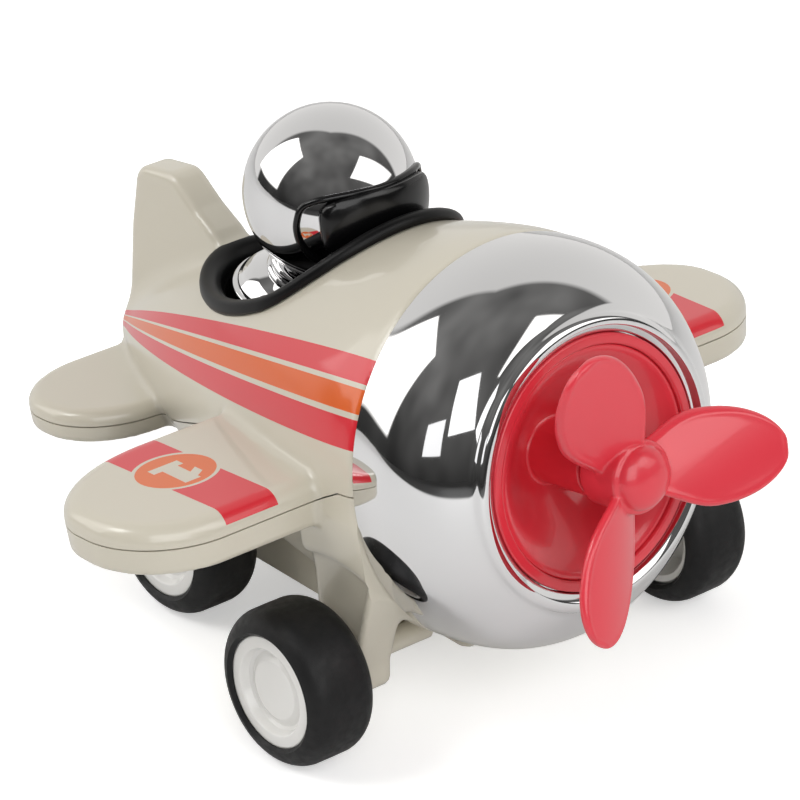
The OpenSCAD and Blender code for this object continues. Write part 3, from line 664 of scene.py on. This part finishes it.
def make_belly_cover():
    """Cover under the front gears, with a skirt that meets the curved belly on both sides."""
    def part(back, ahead, half, low, high):
        return block(AXLE_X - back, AXLE_X + ahead, -half, half, low, high)

    verts, faces = part(BELLY_BACK, -WIDE_BACK, BELLY_HALF, BELLY_Z, SHELF_Z)
    piece = add_mesh("front_belly_cover_moulding", verts, faces, MATERIALS["shell_beige"])
    outward(piece)
    skirt = add_mesh("skirt", *part(BELLY_BACK, -WIDE_BACK, 16.5, BELLY_Z, 18), MATERIALS["shell_beige"])
    outward(skirt)
    belly = [(0, SEAM_U + 2)] + [(float(body_radius(u)) + 0.05, u) for u in np.linspace(SEAM_U + 1, -60, 30)] + [(0, -61)]
    verts, faces = spin(belly, 128)
    combine(skirt, [(along_u(verts), faces)], "DIFFERENCE")
    solid = evaluated_solid(skirt)
    # The keel is boat-shaped in front, round the gear on the axle.
    x0, x1 = AXLE_X - KEEL_BACK, AXLE_X + KEEL_AHEAD
    bow = [(x0, SHELF_Z), (x0, KEEL_Z)] + arc((x1 - BOW_R, KEEL_Z + BOW_R), BOW_R, -90, 0, 10) + [(x1, SHELF_Z)]
    keel = add_mesh("keel", *prism(bow, -KEEL_HALF, KEEL_HALF), MATERIALS["shell_beige"])
    outward(keel)
    soften(keel, 1.1)
    combine(piece, [solid, evaluated_solid(keel)], "UNION")
    inner = COVER_T
    cuts = [part(BELLY_BACK - inner, -WIDE_BACK - inner, BELLY_HALF - inner, BELLY_Z + inner, 20),
            part(KEEL_BACK - inner, KEEL_AHEAD - inner, KEEL_HALF - inner, KEEL_Z + inner, 20),
            rod([AXLE_X, -30, AXLE_Z], [AXLE_X, 30, AXLE_Z], 1.55)]
    for y in (-9.6, 9.6):
        cuts += [rod([AXLE_X - 7, y, 7], [AXLE_X - 7, y, 20], 0.9), rod([AXLE_X - 7, y, 7], [AXLE_X - 7, y, 10], 1.7)]
    combine(piece, cuts, "DIFFERENCE")
    soften(piece, 0.35)
    finish_piece(piece, "airframe", "shell_beige", "front_belly_cover")


def evaluated_solid(piece):
    """Takes a helper object away and returns its evaluated shape in millimetres."""
    shape = piece.evaluated_get(bpy.context.evaluated_depsgraph_get()).data
    solid = np.array([v.co for v in shape.vertices]) / MM, [tuple(f.vertices) for f in shape.polygons]
    bpy.data.objects.remove(piece)
    return solid


def soften(piece, width):
    """Rounds the hard edges when the piece is evaluated."""
    bevel = piece.modifiers.new("edges", "BEVEL")
    bevel.width = width * MM
    bevel.segments = 2
    bevel.limit_method = "ANGLE"
    bevel.angle_limit = radians(40)
    bevel.harden_normals = False


def make_shells():
    verts, quads = hull_mesh()
    hull = add_mesh("hull_form", ground(verts), quads, MATERIALS["shell_beige"])
    outward(hull)
    front = prism([(0, -80), (60, -80), (60, 80), (0, 80)], -80, 80)
    front = (ground(front[0][:, [0, 1, 2]] + [SEAM_U, 0, 0]), front[1])
    combine(hull, [front, cavity()], "DIFFERENCE")
    upper = bpy.data.objects.new("upper_shell_moulding", hull.data.copy())
    lower = bpy.data.objects.new("lower_shell_moulding", hull.data.copy())
    for shell in (upper, lower):
        bpy.context.scene.collection.objects.link(shell)
    bpy.data.objects.remove(hull)
    gap = 0.11
    combine(upper, [parting(gap, False), oval_tube(1.5, 0, 50)], "DIFFERENCE")
    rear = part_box("motor_case_right")
    rx0, rx1, rhalf = rear[0].x / MM - 0.3, rear[1].x / MM + 0.3, -rear[0].y / MM + 0.3
    cuts = [parting(-gap, True), block(rx0, rx1, -rhalf, rhalf, -5, 27)]
    for back, ahead, half in ((BELLY_BACK, -WIDE_BACK, BELLY_HALF), (WIDE_BACK + 1, KEEL_AHEAD, KEEL_HALF)):
        cuts.append(block(AXLE_X - back - 0.05, AXLE_X + ahead + 0.05, -half - 0.05, half + 0.05, -5, 12.6))
    sleeve = rod([AXLE_X, 12.5, AXLE_Z], [AXLE_X, LEG_IN_Y + 1, AXLE_Z], 1.75)
    combine(lower, [sleeve, mirrored(sleeve)], "UNION")
    axle = [AXLE_X, -50, AXLE_Z], [AXLE_X, 50, AXLE_Z]
    cuts.append(rod(*axle, 1.35))
    arch = rod([REAR_AXLE[0], 14.6, REAR_AXLE[2]], [REAR_AXLE[0], 40, REAR_AXLE[2]], 12.7, 96)
    cuts += [arch, mirrored(arch)]
    for u, y, seat in ((-44, 18.5, -14), (-88, 5.5, -9.5)):
        sink = tube_w(u, y, -40, seat, 2.2)
        cuts += [sink, mirrored(sink)]
    combine(lower, cuts, "DIFFERENCE")
    for y in (-9.6, 9.6):
        combine(lower, [rod([AXLE_X - 7, y, 8], [AXLE_X - 7, y, 15.8], 0.9)], "DIFFERENCE")
    for shell in (upper, lower):
        sharpen(shell, 40)
    finish_piece(upper, "airframe", "shell_beige", "upper_shell")
    finish_piece(lower, "airframe", "shell_beige", "lower_shell")


# ---- nose ----

COWL_LEN = 20.4


def cowl_radius(u):
    return BODY_R * (1 - ((u - SEAM_U) / COWL_LEN) ** 2.6) ** (1 / 2.6)


def turned(name, profile, material, body_name, slot, nodes=(), place=along_u, count=160):
    """A turned piece from a closed profile [(radius, along)]."""
    verts, faces = revolve(profile, count)
    piece = add_mesh(name, place(verts), faces, MATERIALS[material])
    outward(piece)
    sharpen(piece, 35)
    return finish_piece(piece, body_name, slot, *nodes)


def make_nose():
    outside = [(cowl_radius(u), u) for u in np.linspace(SEAM_U + 0.15, -1.2, 40)]
    # The lip rolls over and slopes inward to the seat of the dish.
    lip = arc((20.2, -1.1), 1.35, 18, 105, 12) + [(18.8, -0.45), (18.65, -0.75), (18.65, -2.2), (17.3, -2.2)]
    lip += [(17.3, -3.3), (20.2, -3.6)]
    inside = [(cowl_radius(u) - 1.5, u) for u in np.linspace(-6.5, -15, 8)]
    seat = [(BODY_R - WALL - 1.7, SEAM_U), (BODY_R - WALL - 1.7, SEAM_U - 3), (BODY_R - WALL - 0.35, SEAM_U - 3),
            (BODY_R - WALL - 0.35, SEAM_U + 0.1), (BODY_R - 0.35, SEAM_U + 0.05)]
    turned("nose_cowl_plated", outside + lip + inside + seat, "chrome", "airframe", "chrome", ["nose_cowl"], count=256)

    flange = [(18.5, -2.0), (18.5, -0.75)] + arc((18.15, -0.75), 0.35, 0, 90, 4) + [(17.35, -0.4)]
    step = arc((17.25, -0.75), 0.35, 90, 180, 4) + [(16.9, -1.25)] + arc((16.5, -1.3), 0.4, 0, 80, 4)
    cone = [(16.2, -0.95), (15.6, -1.15), (13, -3.2), (10, -5.8), (7.6, -7.8), (5.6, -9.1)]
    boss = arc((5.2, -8.9), 0.5, -100, -180, 4) + [(4.7, 0.7)] + arc((4.3, 0.7), 0.4, 0, 90, 4) + [(2.42, 1.1)]
    back = [(2.42, -13), (4.7, -13), (4.7, -10.4), (6.4, -10.2), (16.6, -2.6), (17.2, -2.1)]
    turned("spinner_dish_moulding", flange + step + cone + boss + back, "dish_red", "airframe", "dish_red",
           ["spinner_dish"], count=192)


# ---- propeller ----

HUB_R, HUB_U0, HUB_U1 = 5.3, 2.0, 9.4
BLADE_ROOT, BLADE_TIP, BLADE_HALF, BLADE_T = 3.0, 24.0, 7.0, 1.5
BLADE_U, BLADE_LEAN, BLADE_CUP = 7.3, 0.27, 0.96     # station at the root, forward lean and cupping
ROOT_TWIST, TIP_TWIST = 26.0, 7.6
BLADE_ANGLES = (-5.3, 119.4, 234.7)


def blade_half(t):
    """Half chord of the paddle at fraction t of its length: widest at 0.45, then an elliptical tip."""
    if t < 0.45:
        return BLADE_HALF * (0.53 + 0.47 * sin(pi / 2 * t / 0.45) ** 1.27)
    return BLADE_HALF * max(0.0, 1 - ((t - 0.45) / 0.55) ** 2.2) ** 0.5


def blade(angle):
    """One cupped, twisted and forward-leaning paddle with round edges, as a closed grid."""
    rows, across = 56, 26
    length = BLADE_TIP - BLADE_ROOT
    r = BLADE_T / 2
    rings = []
    for t in 1 - (1 - np.linspace(0, 0.9995, rows)) ** 1.6:
        half = blade_half(t)
        ring = []
        for side in (1, -1):
            for s in np.linspace(-side, side, across + 1):
                # Closer together near the edges, where the thickness falls to nothing.
                s = sin(pi / 2 * s)
                x = s * half
                depth = min((1 - abs(s)) * half, (1 - t) * length)
                thick = r * sqrt(max(0.0, 1 - max(0.0, 1 - depth / r) ** 2))
                # A fine raised bead runs along the edge of the front face.
                bead = 0.16 * max(0.0, 1 - abs(depth - 0.75) / 0.45) if side > 0 else 0.0
                ring.append((length * t, x, side * thick + bead))
        rings.append(ring)
    n = 2 * (across + 1)
    verts = np.array(rings).reshape(-1, 3)
    along, x, lift = verts[:, 0], verts[:, 1], verts[:, 2]
    turn = np.radians(ROOT_TWIST + (TIP_TWIST - ROOT_TWIST) * along / length)
    axial = BLADE_U - x * np.sin(turn) + BLADE_LEAN * along - BLADE_CUP * (x / BLADE_HALF) ** 2 + lift
    x = x * np.cos(turn) + 0.14
    a = radians(angle)
    out = np.stack([axial, (BLADE_ROOT + along) * cos(a) - x * sin(a), (BLADE_ROOT + along) * sin(a) + x * cos(a)], 1)
    faces = [(i * n + j, i * n + (j + 1) % n, (i + 1) * n + (j + 1) % n, (i + 1) * n + j)
             for i in range(rows - 1) for j in range(n)]
    faces += [tuple(range(n)), tuple(range((rows - 1) * n, rows * n))]
    return ground(out), faces


def make_propeller():
    # Hub: a drum with a fine step, then a low dome.
    hub = [(0, HUB_U0), (HUB_R - 0.4, HUB_U0)] + arc((HUB_R - 0.4, HUB_U0 + 0.4), 0.4, -90, 0, 4)
    hub += arc((HUB_R - 0.45, HUB_U1 - 0.45), 0.45, 0, 85, 5) + [(4.78, HUB_U1 - 0.02), (4.72, HUB_U1 - 0.12)]
    hub += [(4.6, HUB_U1)] + [(4.6 * cos(a), HUB_U1 + 2.5 * sin(a)) for a in np.radians(np.linspace(8, 84, 14))]
    verts, faces = spin(hub + [(0, HUB_U1 + 2.5)], 128)
    piece = add_mesh("propeller_moulding", along_u(verts), faces, MATERIALS["propeller_red"])
    outward(piece)
    combine(piece, [blade(angle) for angle in BLADE_ANGLES], "UNION")
    smooth = piece.modifiers.new("blend", "REMESH")
    smooth.mode = "VOXEL"
    smooth.voxel_size = 0.2 * MM
    shaped = bpy.data.meshes.new_from_object(piece.evaluated_get(bpy.context.evaluated_depsgraph_get()))
    piece.modifiers.clear()
    piece.data = shaped
    relax = piece.modifiers.new("relax", "SMOOTH")
    relax.factor = 0.5
    relax.iterations = 6
    shaped = bpy.data.meshes.new_from_object(piece.evaluated_get(bpy.context.evaluated_depsgraph_get()))
    piece.modifiers.clear()
    piece.data = shaped
    combine(piece, [rod(ground([HUB_U0 - 1, 0, 0]), ground([9.0, 0, 0]), 1.0)], "DIFFERENCE")
    sharpen(piece, 60)
    finish_piece(piece, "propeller", "propeller_red", "propeller")


# ---- cockpit rim and pilot ----

HELMET = np.array([-53.7, 0, 30.6])
HELMET_R = 12.9


def make_rim():
    """Rolled black edge that follows the saddle of the opening."""
    section = [(0.0, 0.1), (0.05, 1.0), (0.3, 1.6), (0.8, 1.95), (1.6, 1.95), (2.4, 1.6), (2.9, 1.0), (3.2, 0.2),
               (3.4, -1.2), (3.5, -7.0), (1.9, -7.0), (1.85, -1.9), (1.55, -1.9), (1.5, -0.1)]
    count = 192
    verts = []
    for a in np.arange(count) * 2 * pi / count:
        # The rim is set by the surface under the middle of its band.
        u, y = rim_point(a, 0.8)
        r = float(body_radius(np.float64(u)))
        middle = sqrt(max(1.0, r * r - y * y))
        for inset, up in section:
            u, y = rim_point(a, inset)
            surface = sqrt(max(1.0, float(body_radius(np.float64(u))) ** 2 - y * y))
            verts.append((u, y, (surface if up < 0.2 else middle) + up))
    n = len(section)
    faces = [(i * n + j, (i + 1) % count * n + j, (i + 1) % count * n + (j + 1) % n, i * n + (j + 1) % n)
             for i in range(count) for j in range(n)]
    piece = add_mesh("cockpit_rim_rolled", ground(verts), faces, MATERIALS["trim_black"])
    outward(piece)
    smooth = piece.modifiers.new("smooth", "SUBSURF")
    smooth.levels = smooth.render_levels = 1
    finish_piece(piece, "airframe", "trim_black", "cockpit_rim")


def on_helmet(azimuth, elevation, r):
    """Point at this distance from the helmet's middle; azimuth 0 faces forward and grows to the left."""
    a, e = radians(azimuth), radians(elevation)
    return HELMET + np.array([cos(e) * cos(a), cos(e) * sin(a), sin(e)]) * r


def tube(name, points, r, material, body_name, slot, closed=False):
    """A round bead along points in the body frame, as a mesh."""
    curve = bpy.data.curves.new(name, "CURVE")
    curve.dimensions = "3D"
    curve.bevel_depth = r * MM
    curve.bevel_resolution = 4
    curve.use_fill_caps = True
    line = curve.splines.new("BEZIER")
    line.bezier_points.add(len(points) - 1)
    for knot, place in zip(line.bezier_points, ground(points) * MM):
        knot.co = place
        knot.handle_left_type = knot.handle_right_type = "AUTO"
    line.resolution_u = 6
    line.use_cyclic_u = closed
    holder = bpy.data.objects.new(name + "_path", curve)
    bpy.context.scene.collection.objects.link(holder)
    mesh = bpy.data.meshes.new_from_object(holder.evaluated_get(bpy.context.evaluated_depsgraph_get()))
    bpy.data.objects.remove(holder)
    piece = bpy.data.objects.new(name, mesh)
    mesh.materials.clear()
    mesh.materials.append(MATERIALS[material])
    mesh.shade_smooth()
    bpy.context.scene.collection.objects.link(piece)
    return finish_piece(piece, body_name, slot)


NECK_LEAN, SHOULDERS, SHOULDER_LEAN = 31.0, np.array([-64.3, 0, 14.2]), 20.0


def leaning(place, lean):
    """Turned piece about an axis that leans forward by this many degrees."""
    c, s = cos(radians(lean)), sin(radians(lean))
    return lambda v: ground(np.stack([v[:, 0] * c + v[:, 2] * s, v[:, 1], v[:, 2] * c - v[:, 0] * s], -1) + place)


def turned_solid(name, profile, place, count=128):
    """A chrome solid of revolution from an open profile that starts and ends on its axis."""
    verts, faces = spin(profile, count)
    piece = add_mesh(name, place(verts), faces, MATERIALS["chrome"])
    outward(piece)
    sharpen(piece, 32)
    return piece


def make_pilot():
    shoulders = [(0, -3), (6.8, -3), (9.3, -1.2)] + arc((9.4, -0.6), 0.45, -60, 90, 6) + [(9.15, -0.1), (9.1, 0.2)]
    shoulders += [(8.9, 0.6), (8.6, 0.85), (8.5, 1.1), (7.9, 1.8), (6.9, 2.45), (5.6, 2.95), (4.9, 3.3), (0, 3.6)]
    piece = turned_solid("pilot_shoulders", shoulders, leaning(SHOULDERS, SHOULDER_LEAN))
    finish_piece(piece, "airframe", "chrome", "pilot_body")
    # Folds of the neck, measured from the middle of the helmet.
    neck = [(0, -19.5), (5.0, -19.5)] + arc((5.2, -18.0), 0.9, -90, 80, 7) + arc((5.1, -16.3), 0.85, -80, 80, 6)
    neck += arc((4.9, -14.7), 0.8, -80, 85, 6) + [(4.4, -13.8), (4.2, -11.5), (0, -11.5)]
    piece = turned_solid("pilot_neck", neck, leaning(HELMET, NECK_LEAN), 96)
    finish_piece(piece, "airframe", "chrome", "pilot_body")
    base = [(0, -5.6), (5.5, -5.6), (5.5, -2), (0, -2)]
    piece = turned_solid("pilot_base", base, leaning(SHOULDERS, 0), 64)
    finish_piece(piece, "airframe", "chrome", "pilot_body")

    shell = [(0, -10.8), (3.25, -10.8), (3.25, -12.2)] + arc((0, 0), HELMET_R, -75, 88, 64) + [(0, HELMET_R)]
    piece = turned_solid("pilot_helmet_plated", shell, leaning(HELMET, NECK_LEAN), 160)
    finish_piece(piece, "airframe", "chrome", "pilot_helmet")

    # Visor: a raised patch of the helmet's sphere with round edges.
    half_az, low, high, n, m = 47.0, -27.0, 12.0, 64, 24
    front, back = [], []
    for i in range(n + 1):
        for j in range(m + 1):
            s, t = 2 * i / n - 1, 2 * j / m - 1
            # Superellipse corners.
            q = (abs(s) ** 5 + abs(t) ** 5) ** 0.2
            k = max(abs(s), abs(t)) / max(q, 1e-6)
            s, t = s * k, t * k
            az = half_az * s
            el = (low + high) / 2 + (high - low) / 2 * t + 1.5 * (1 - s * s) * t
            near = 1 - q * k if q > 0 else 1
            edge = min(1.0, max(0.0, near) / 0.16)
            rise = 1.55 * sqrt(1 - (1 - edge) ** 2)
            front.append(on_helmet(az, el, HELMET_R + 0.05 + rise))
            back.append(on_helmet(az, el, HELMET_R + 0.02))
    size = (n + 1) * (m + 1)
    at = lambda i, j: i * (m + 1) + j
    faces = [(at(i, j), at(i + 1, j), at(i + 1, j + 1), at(i, j + 1)) for i in range(n) for j in range(m)]
    faces += [tuple(size + v for v in reversed(f)) for f in faces]
    border = [at(i, 0) for i in range(n)] + [at(n, j) for j in range(m)] + [at(i, m) for i in range(n, 0, -1)]
    border += [at(0, j) for j in range(m, 0, -1)]
    faces += [(b, a, size + a, size + b) for a, b in zip(border, border[1:] + border[:1])]
    piece = add_mesh("pilot_visor_shield", ground(front + back), faces, MATERIALS["visor_black"])
    outward(piece)
    sharpen(piece, 50)
    finish_piece(piece, "airframe", "visor_black", "pilot_visor")

    right = [(-38, 12.6), (-50, 10.8), (-57, 7.5), (-61, 0), (-62.5, -9), (-61, -19), (-56, -29), (-48, -36)]
    path = [(az, el) for az, el in reversed(right)] + [(-20, 13.3), (0, 13.0), (20, 13.3)]
    path += [(-az, el) for az, el in right]
    tube("pilot_visor_frame", [on_helmet(az, el, HELMET_R + 0.15) for az, el in path], 0.5,
         "visor_black", "airframe", "visor_black")


# ---- wheels ----

WHEEL_R, TYRE_W, RIM_R, HUB_OUT, SHOULDER = 11.8, 11.6, 8.4, 5.1, 3.6


def wheel_place(axle, side, track):
    """Turned about y, with its outer face away from the middle."""
    return lambda v: np.stack([v[:, 0] + axle[0], side * (v[:, 2] + track), v[:, 1] * side + axle[2]], -1)


def make_wheels(kind, axle, track, body_name):
    half = TYRE_W / 2
    tyre = [(RIM_R + 0.02, -half + 0.55), (RIM_R + 0.5, -half + 0.15)]
    tyre += arc((WHEEL_R - SHOULDER, SHOULDER - half), SHOULDER, -78, -6, 9)
    tyre += [(WHEEL_R, 0)] + arc((WHEEL_R - SHOULDER, half - SHOULDER), SHOULDER, 6, 78, 9)
    tyre += [(RIM_R + 0.5, half - 0.15), (RIM_R + 0.02, half - 0.55)]
    hub = [(RIM_R, half - 0.75)] + arc((RIM_R - 0.3, HUB_OUT - 0.3), 0.3, 0, 90, 4) + [(6.9, HUB_OUT + 0.02)]
    hub += arc((6.75, HUB_OUT - 0.25), 0.3, 90, 150, 3) + [(6.1, 3.95), (5.6, 3.65), (5.1, 3.75), (4.75, 4.05)]
    hub += arc((4.2, 3.85), 0.45, 45, 90, 3) + [(2.5, 4.36), (0.02, 4.4), (0.02, 3.35), (1.26, 3.3), (1.26, -4.2)]
    hub += [(2.8, -4.2), (3, 1.4), (7, 1.4), (7.2, -4.4), (7.5, -4.6), (8.1, -4.6), (RIM_R, -4.3)]
    for name, profile, slot in (("tyre", tyre, "tyre_rubber"), ("hub", hub, "hub_white")):
        for side, hand in ((1, "left"), (-1, "right")):
            node = f"{kind}_tyres" if name == "tyre" else f"{kind}_wheel_hubs"
            turned(f"{kind}_{name}_{hand}", profile, slot, body_name, slot, [node],
                   wheel_place(axle, side, track), 160)


# ---- the CAD nodes that stay ----

NODE_SLOTS = {
    "rear_belly_cover": "shell_beige", "cockpit_floor": "trim_black",
    "propeller_shaft": "steel", "propeller_pinion": "gear_plastic", "propeller_bush": "brass",
    "gear_frame": "frame_plastic", "lay_shaft": "steel", "lay_top_crown": "gear_plastic",
    "lay_bottom_crown": "gear_plastic", "front_axle": "steel", "front_pinion": "gear_plastic",
    "rear_axle": "steel", "rear_axle_gear": "gear_plastic", "motor_case_right": "motor_case",
    "motor_case_left": "motor_case", "spring_gear": "gear_plastic", "spring_arbor": "steel",
    "mainspring": "spring_steel", "shell_screws": "screw_steel", "cover_screws": "screw_steel",
    "frame_screws": "screw_steel",
}


def finish_nodes():
    for node, slot in NODE_SLOTS.items():
        part = frame["nodes"][node]
        if not part.material_slots:
            part.data.materials.append(None)
        for place in part.material_slots:
            place.link = "OBJECT"
            place.material = MATERIALS[slot]
    for node in ("rear_belly_cover", "motor_case_right", "motor_case_left", "gear_frame"):
        soften(frame["nodes"][node], 0.3)


# ---- stage ----

AZIMUTH, ELEVATION, ROLL = radians(49.88), radians(27.45), radians(-0.15)
VIEW_DISTANCE, FOCAL = 700.0, 220.42
VIEW_RIGHT, VIEW_UP = -13.09, 8.14
# Soft lights: direction (to the camera's right, towards it, up), width in metres and power in watts.
LIGHTS = {"key": ((-0.75, 0.25, 0.95), 0.32, 1.9), "fill": ((0.8, 0.5, 0.8), 0.5, 0.9),
          "front": ((0.2, 1.0, 0.55), 0.75, 4.7)}
SWEEP_LOW, SWEEP_HIGH = 0.88, 0.7                   # brightness of the white sweep, low down and overhead
ROOM_LOW, ROOM_HIGH = 0.03, 0.16                     # brightness of the dim room
LEFT_WINDOW, RIGHT_WINDOW = 2.0, 1.7


def studio_world():
    """White sweep behind the object, a dim grey room in front of it and a bright window on each side."""
    world = bpy.data.worlds.new("studio")
    bpy.context.scene.world = world
    world.use_nodes = True
    tree = world.node_tree
    shader = tree.nodes["Background"]
    paint = Paint.__new__(Paint)
    paint.tree = tree
    place = paint.node("ShaderNodeTexCoord").outputs["Generated"]
    toward = (sin(AZIMUTH), -cos(AZIMUTH))
    right = (cos(AZIMUTH), sin(AZIMUTH))

    def lean(vector):
        made = paint.node("ShaderNodeVectorMath", operation="DOT_PRODUCT")
        tree.links.new(place, made.inputs[0])
        made.inputs[1].default_value = vector
        return made.outputs["Value"]

    def heading(side, front, up):
        v = Vector((right[0] * side + toward[0] * front, right[1] * side + toward[1] * front, up))
        return tuple(v.normalized())

    def blend(fac, a, b):
        return paint.math("ADD", paint.math("MULTIPLY", a, paint.math("SUBTRACT", 1, fac)), paint.math("MULTIPLY", b, fac))

    side, front, up = lean(heading(1, 0, 0)), lean(heading(0, 1, 0)), lean((0, 0, 1))
    # The room starts where this is above 0; it reaches further back on the left.
    edge = paint.math("ADD", front, paint.math("MULTIPLY", up, 0.29))
    edge = paint.math("ADD", edge, paint.math("MULTIPLY", paint.math("MAXIMUM", side, 0), 0.17))
    edge = paint.math("ADD", edge, paint.math("MULTIPLY", paint.math("MAXIMUM", paint.math("MULTIPLY", side, -1), 0), 0.45))
    sweep = paint.ramp(up, -0.1, 1, SWEEP_LOW, SWEEP_HIGH)
    clouds = paint.node("ShaderNodeTexNoise")
    tree.links.new(place, clouds.inputs["Vector"])
    clouds.inputs["Scale"].default_value = 2.2
    clouds.inputs["Detail"].default_value = 1.0
    room = paint.math("MULTIPLY", paint.ramp(up, -0.05, 0.85, ROOM_LOW, ROOM_HIGH),
                      paint.ramp(clouds.outputs["Fac"], 0.3, 0.7, 0.65, 1.4))
    level = blend(paint.ramp(edge, -0.02, 0.05, 0, 1), sweep, room)

    def window(depth, across, low, high, bottom, top, strength):
        """Bright panel on the plane depth = 1; low and high are (at the bottom line, change per unit of height)."""
        h, v = paint.math("DIVIDE", across, depth), paint.math("DIVIDE", up, depth)
        inside = paint.math("MULTIPLY", paint.ramp(v, bottom, bottom + 0.04, 0, 1), paint.ramp(v, top, top + 0.06, 1, 0))
        rise = [paint.math("SUBTRACT", h, paint.math("ADD", start, paint.math("MULTIPLY", v, slope)))
                for start, slope in (low, high)]
        inside = paint.math("MULTIPLY", inside, paint.ramp(rise[0], 0, 0.04, 0, 1))
        inside = paint.math("MULTIPLY", inside, paint.ramp(rise[1], 0, 0.04, 1, 0))
        inside = paint.math("MULTIPLY", inside, paint.math("GREATER_THAN", depth, 0.02))
        return paint.math("MULTIPLY", inside, strength)

    left = paint.math("MULTIPLY", side, -1)
    level = paint.math("ADD", level, window(left, front, (-0.6, 0.0), (0.22, 0.1), 0.13, 1.5, LEFT_WINDOW))
    level = paint.math("ADD", level, window(side, front, (-0.2, 0.33), (0.12, 1.0), 0.22, 1.4, RIGHT_WINDOW))
    combine_rgb = paint.node("ShaderNodeCombineColor")
    for channel, tint in (("Red", 1.0), ("Green", 0.985), ("Blue", 0.96)):
        tree.links.new(paint.math("MULTIPLY", level, tint), combine_rgb.inputs[channel])
    tree.links.new(combine_rgb.outputs["Color"], shader.inputs["Color"])
    shader.inputs["Strength"].default_value = 1.0


def studio_heading(side, front, up):
    """Direction seen from the camera's side: to its right, towards it and up."""
    toward, right = (sin(AZIMUTH), -cos(AZIMUTH)), (cos(AZIMUTH), sin(AZIMUTH))
    return Vector((right[0] * side + toward[0] * front, right[1] * side + toward[1] * front, up))


def area_light(name, heading, distance, width, height, power, target):
    heading = heading.normalized()
    data = bpy.data.lights.new(name, "AREA")
    data.shape = "RECTANGLE"
    data.size, data.size_y = width, height
    data.energy = power
    lamp = bpy.data.objects.new(name, data)
    bpy.context.scene.collection.objects.link(lamp)
    lamp.location = target + heading * distance
    lamp.rotation_mode = "QUATERNION"
    lamp.rotation_quaternion = (-heading).to_track_quat("-Z", "Y")
    return lamp


def panel_light(name, side, up, width, height, level, target, collection):
    """Bright panel in front of the object that only lights and mirrors in the cowl; sizes are per metre of distance."""
    depth = 0.9
    lamp = area_light(name, studio_heading(0, 1, 0), 0, width * depth, height * depth,
                      level * pi * width * height * depth ** 2, target)
    lamp.location = target + studio_heading(side, 1, up) * depth
    lamp.light_linking.receiver_collection = collection


TABLE_END = 360.0
PLATED = ("nose_cowl_plated", "pilot_shoulders", "pilot_neck", "pilot_base", "pilot_helmet_plated")


def make_stage():
    low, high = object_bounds()
    target = (low + high) / 2
    size = 3.0
    grid = np.linspace(-size, size, 13) / MM
    verts = [(x, y, -0.05) for x in grid for y in grid]
    n = len(grid)
    faces = [(i * n + j, (i + 1) * n + j, (i + 1) * n + j + 1, i * n + j + 1) for i in range(n - 1) for j in range(n - 1)]
    p = Paint("floor")
    # Paler to the camera than in reflections, like a lit white table.
    seen = p.node("ShaderNodeLightPath").outputs["Is Camera Ray"]
    grey = p.mix(p.noise(0.004), rgb(232, 232, 232), rgb(238, 238, 238))
    # In reflections the lit table ends in front of the object.
    ahead = p.ramp(p.dot((sin(AZIMUTH), -cos(AZIMUTH), 0)), TABLE_END, TABLE_END * 1.15, 0, 1)
    grey = p.mix(ahead, grey, rgb(58, 58, 58))
    p.set(Base_Color=p.mix(seen, grey, rgb(250, 250, 250)), Roughness=0.6, Specular_IOR_Level=0.1,
          Emission_Color=(1, 1, 1, 1), Emission_Strength=p.math("MULTIPLY", seen, 0.42))
    floor = add_mesh("floor", verts, faces, p.material, smooth=False)
    studio_world()
    # The chrome mirrors the world and its own panels only.
    plated = bpy.data.collections.new("plated")
    for piece in PLATED:
        plated.objects.link(bpy.data.objects[piece])
    for entry in plated.collection_objects:
        entry.light_linking.link_state = "EXCLUDE"
    for name, (heading, width, power) in LIGHTS.items():
        lamp = area_light(name, studio_heading(*heading), 1.0, width, width, power, target)
        lamp.light_linking.receiver_collection = plated
    mirrors = bpy.data.collections.new("mirrors")
    mirrors.objects.link(bpy.data.objects["nose_cowl_plated"])
    panel_light("tall_panel", 0.1, 0.72, 0.42, 0.7, 1.5, target, mirrors)
    panel_light("low_panel", -0.39, 0.38, 0.38, 0.34, 1.2, target, mirrors)

    back = np.array([sin(AZIMUTH) * cos(ELEVATION), -cos(AZIMUTH) * cos(ELEVATION), sin(ELEVATION)])
    right = np.array([cos(AZIMUTH), sin(AZIMUTH), 0.0])
    up = np.cross(back, right)
    right, up = right * cos(ROLL) + up * sin(ROLL), up * cos(ROLL) - right * sin(ROLL)
    look = np.array([AXLE_X, 0, 35.0]) + right * VIEW_RIGHT + up * VIEW_UP
    camera = bpy.data.objects.new("camera", bpy.data.cameras.new("camera"))
    bpy.context.scene.collection.objects.link(camera)
    camera.data.sensor_width = 36
    camera.data.lens = FOCAL
    camera.data.clip_start, camera.data.clip_end = 0.01, 20
    camera.location = (look + back * VIEW_DISTANCE) * MM
    turn = np.eye(4)
    turn[:3, 0], turn[:3, 1], turn[:3, 2] = right, up, back
    turn[:3, 3] = camera.location
    from mathutils import Matrix
    camera.matrix_world = Matrix(turn.tolist())
    bpy.context.scene.camera = camera
    scene = bpy.context.scene
    scene.view_settings.view_transform = "Standard"


make_shells()
make_belly_cover()
make_nose()
make_propeller()
make_rim()
make_pilot()
make_wheels("front", FRONT_AXLE, 36.0, "front_wheels")
make_wheels("rear", REAR_AXLE, 21.4, "rear_wheels")
finish_nodes()
make_stage()
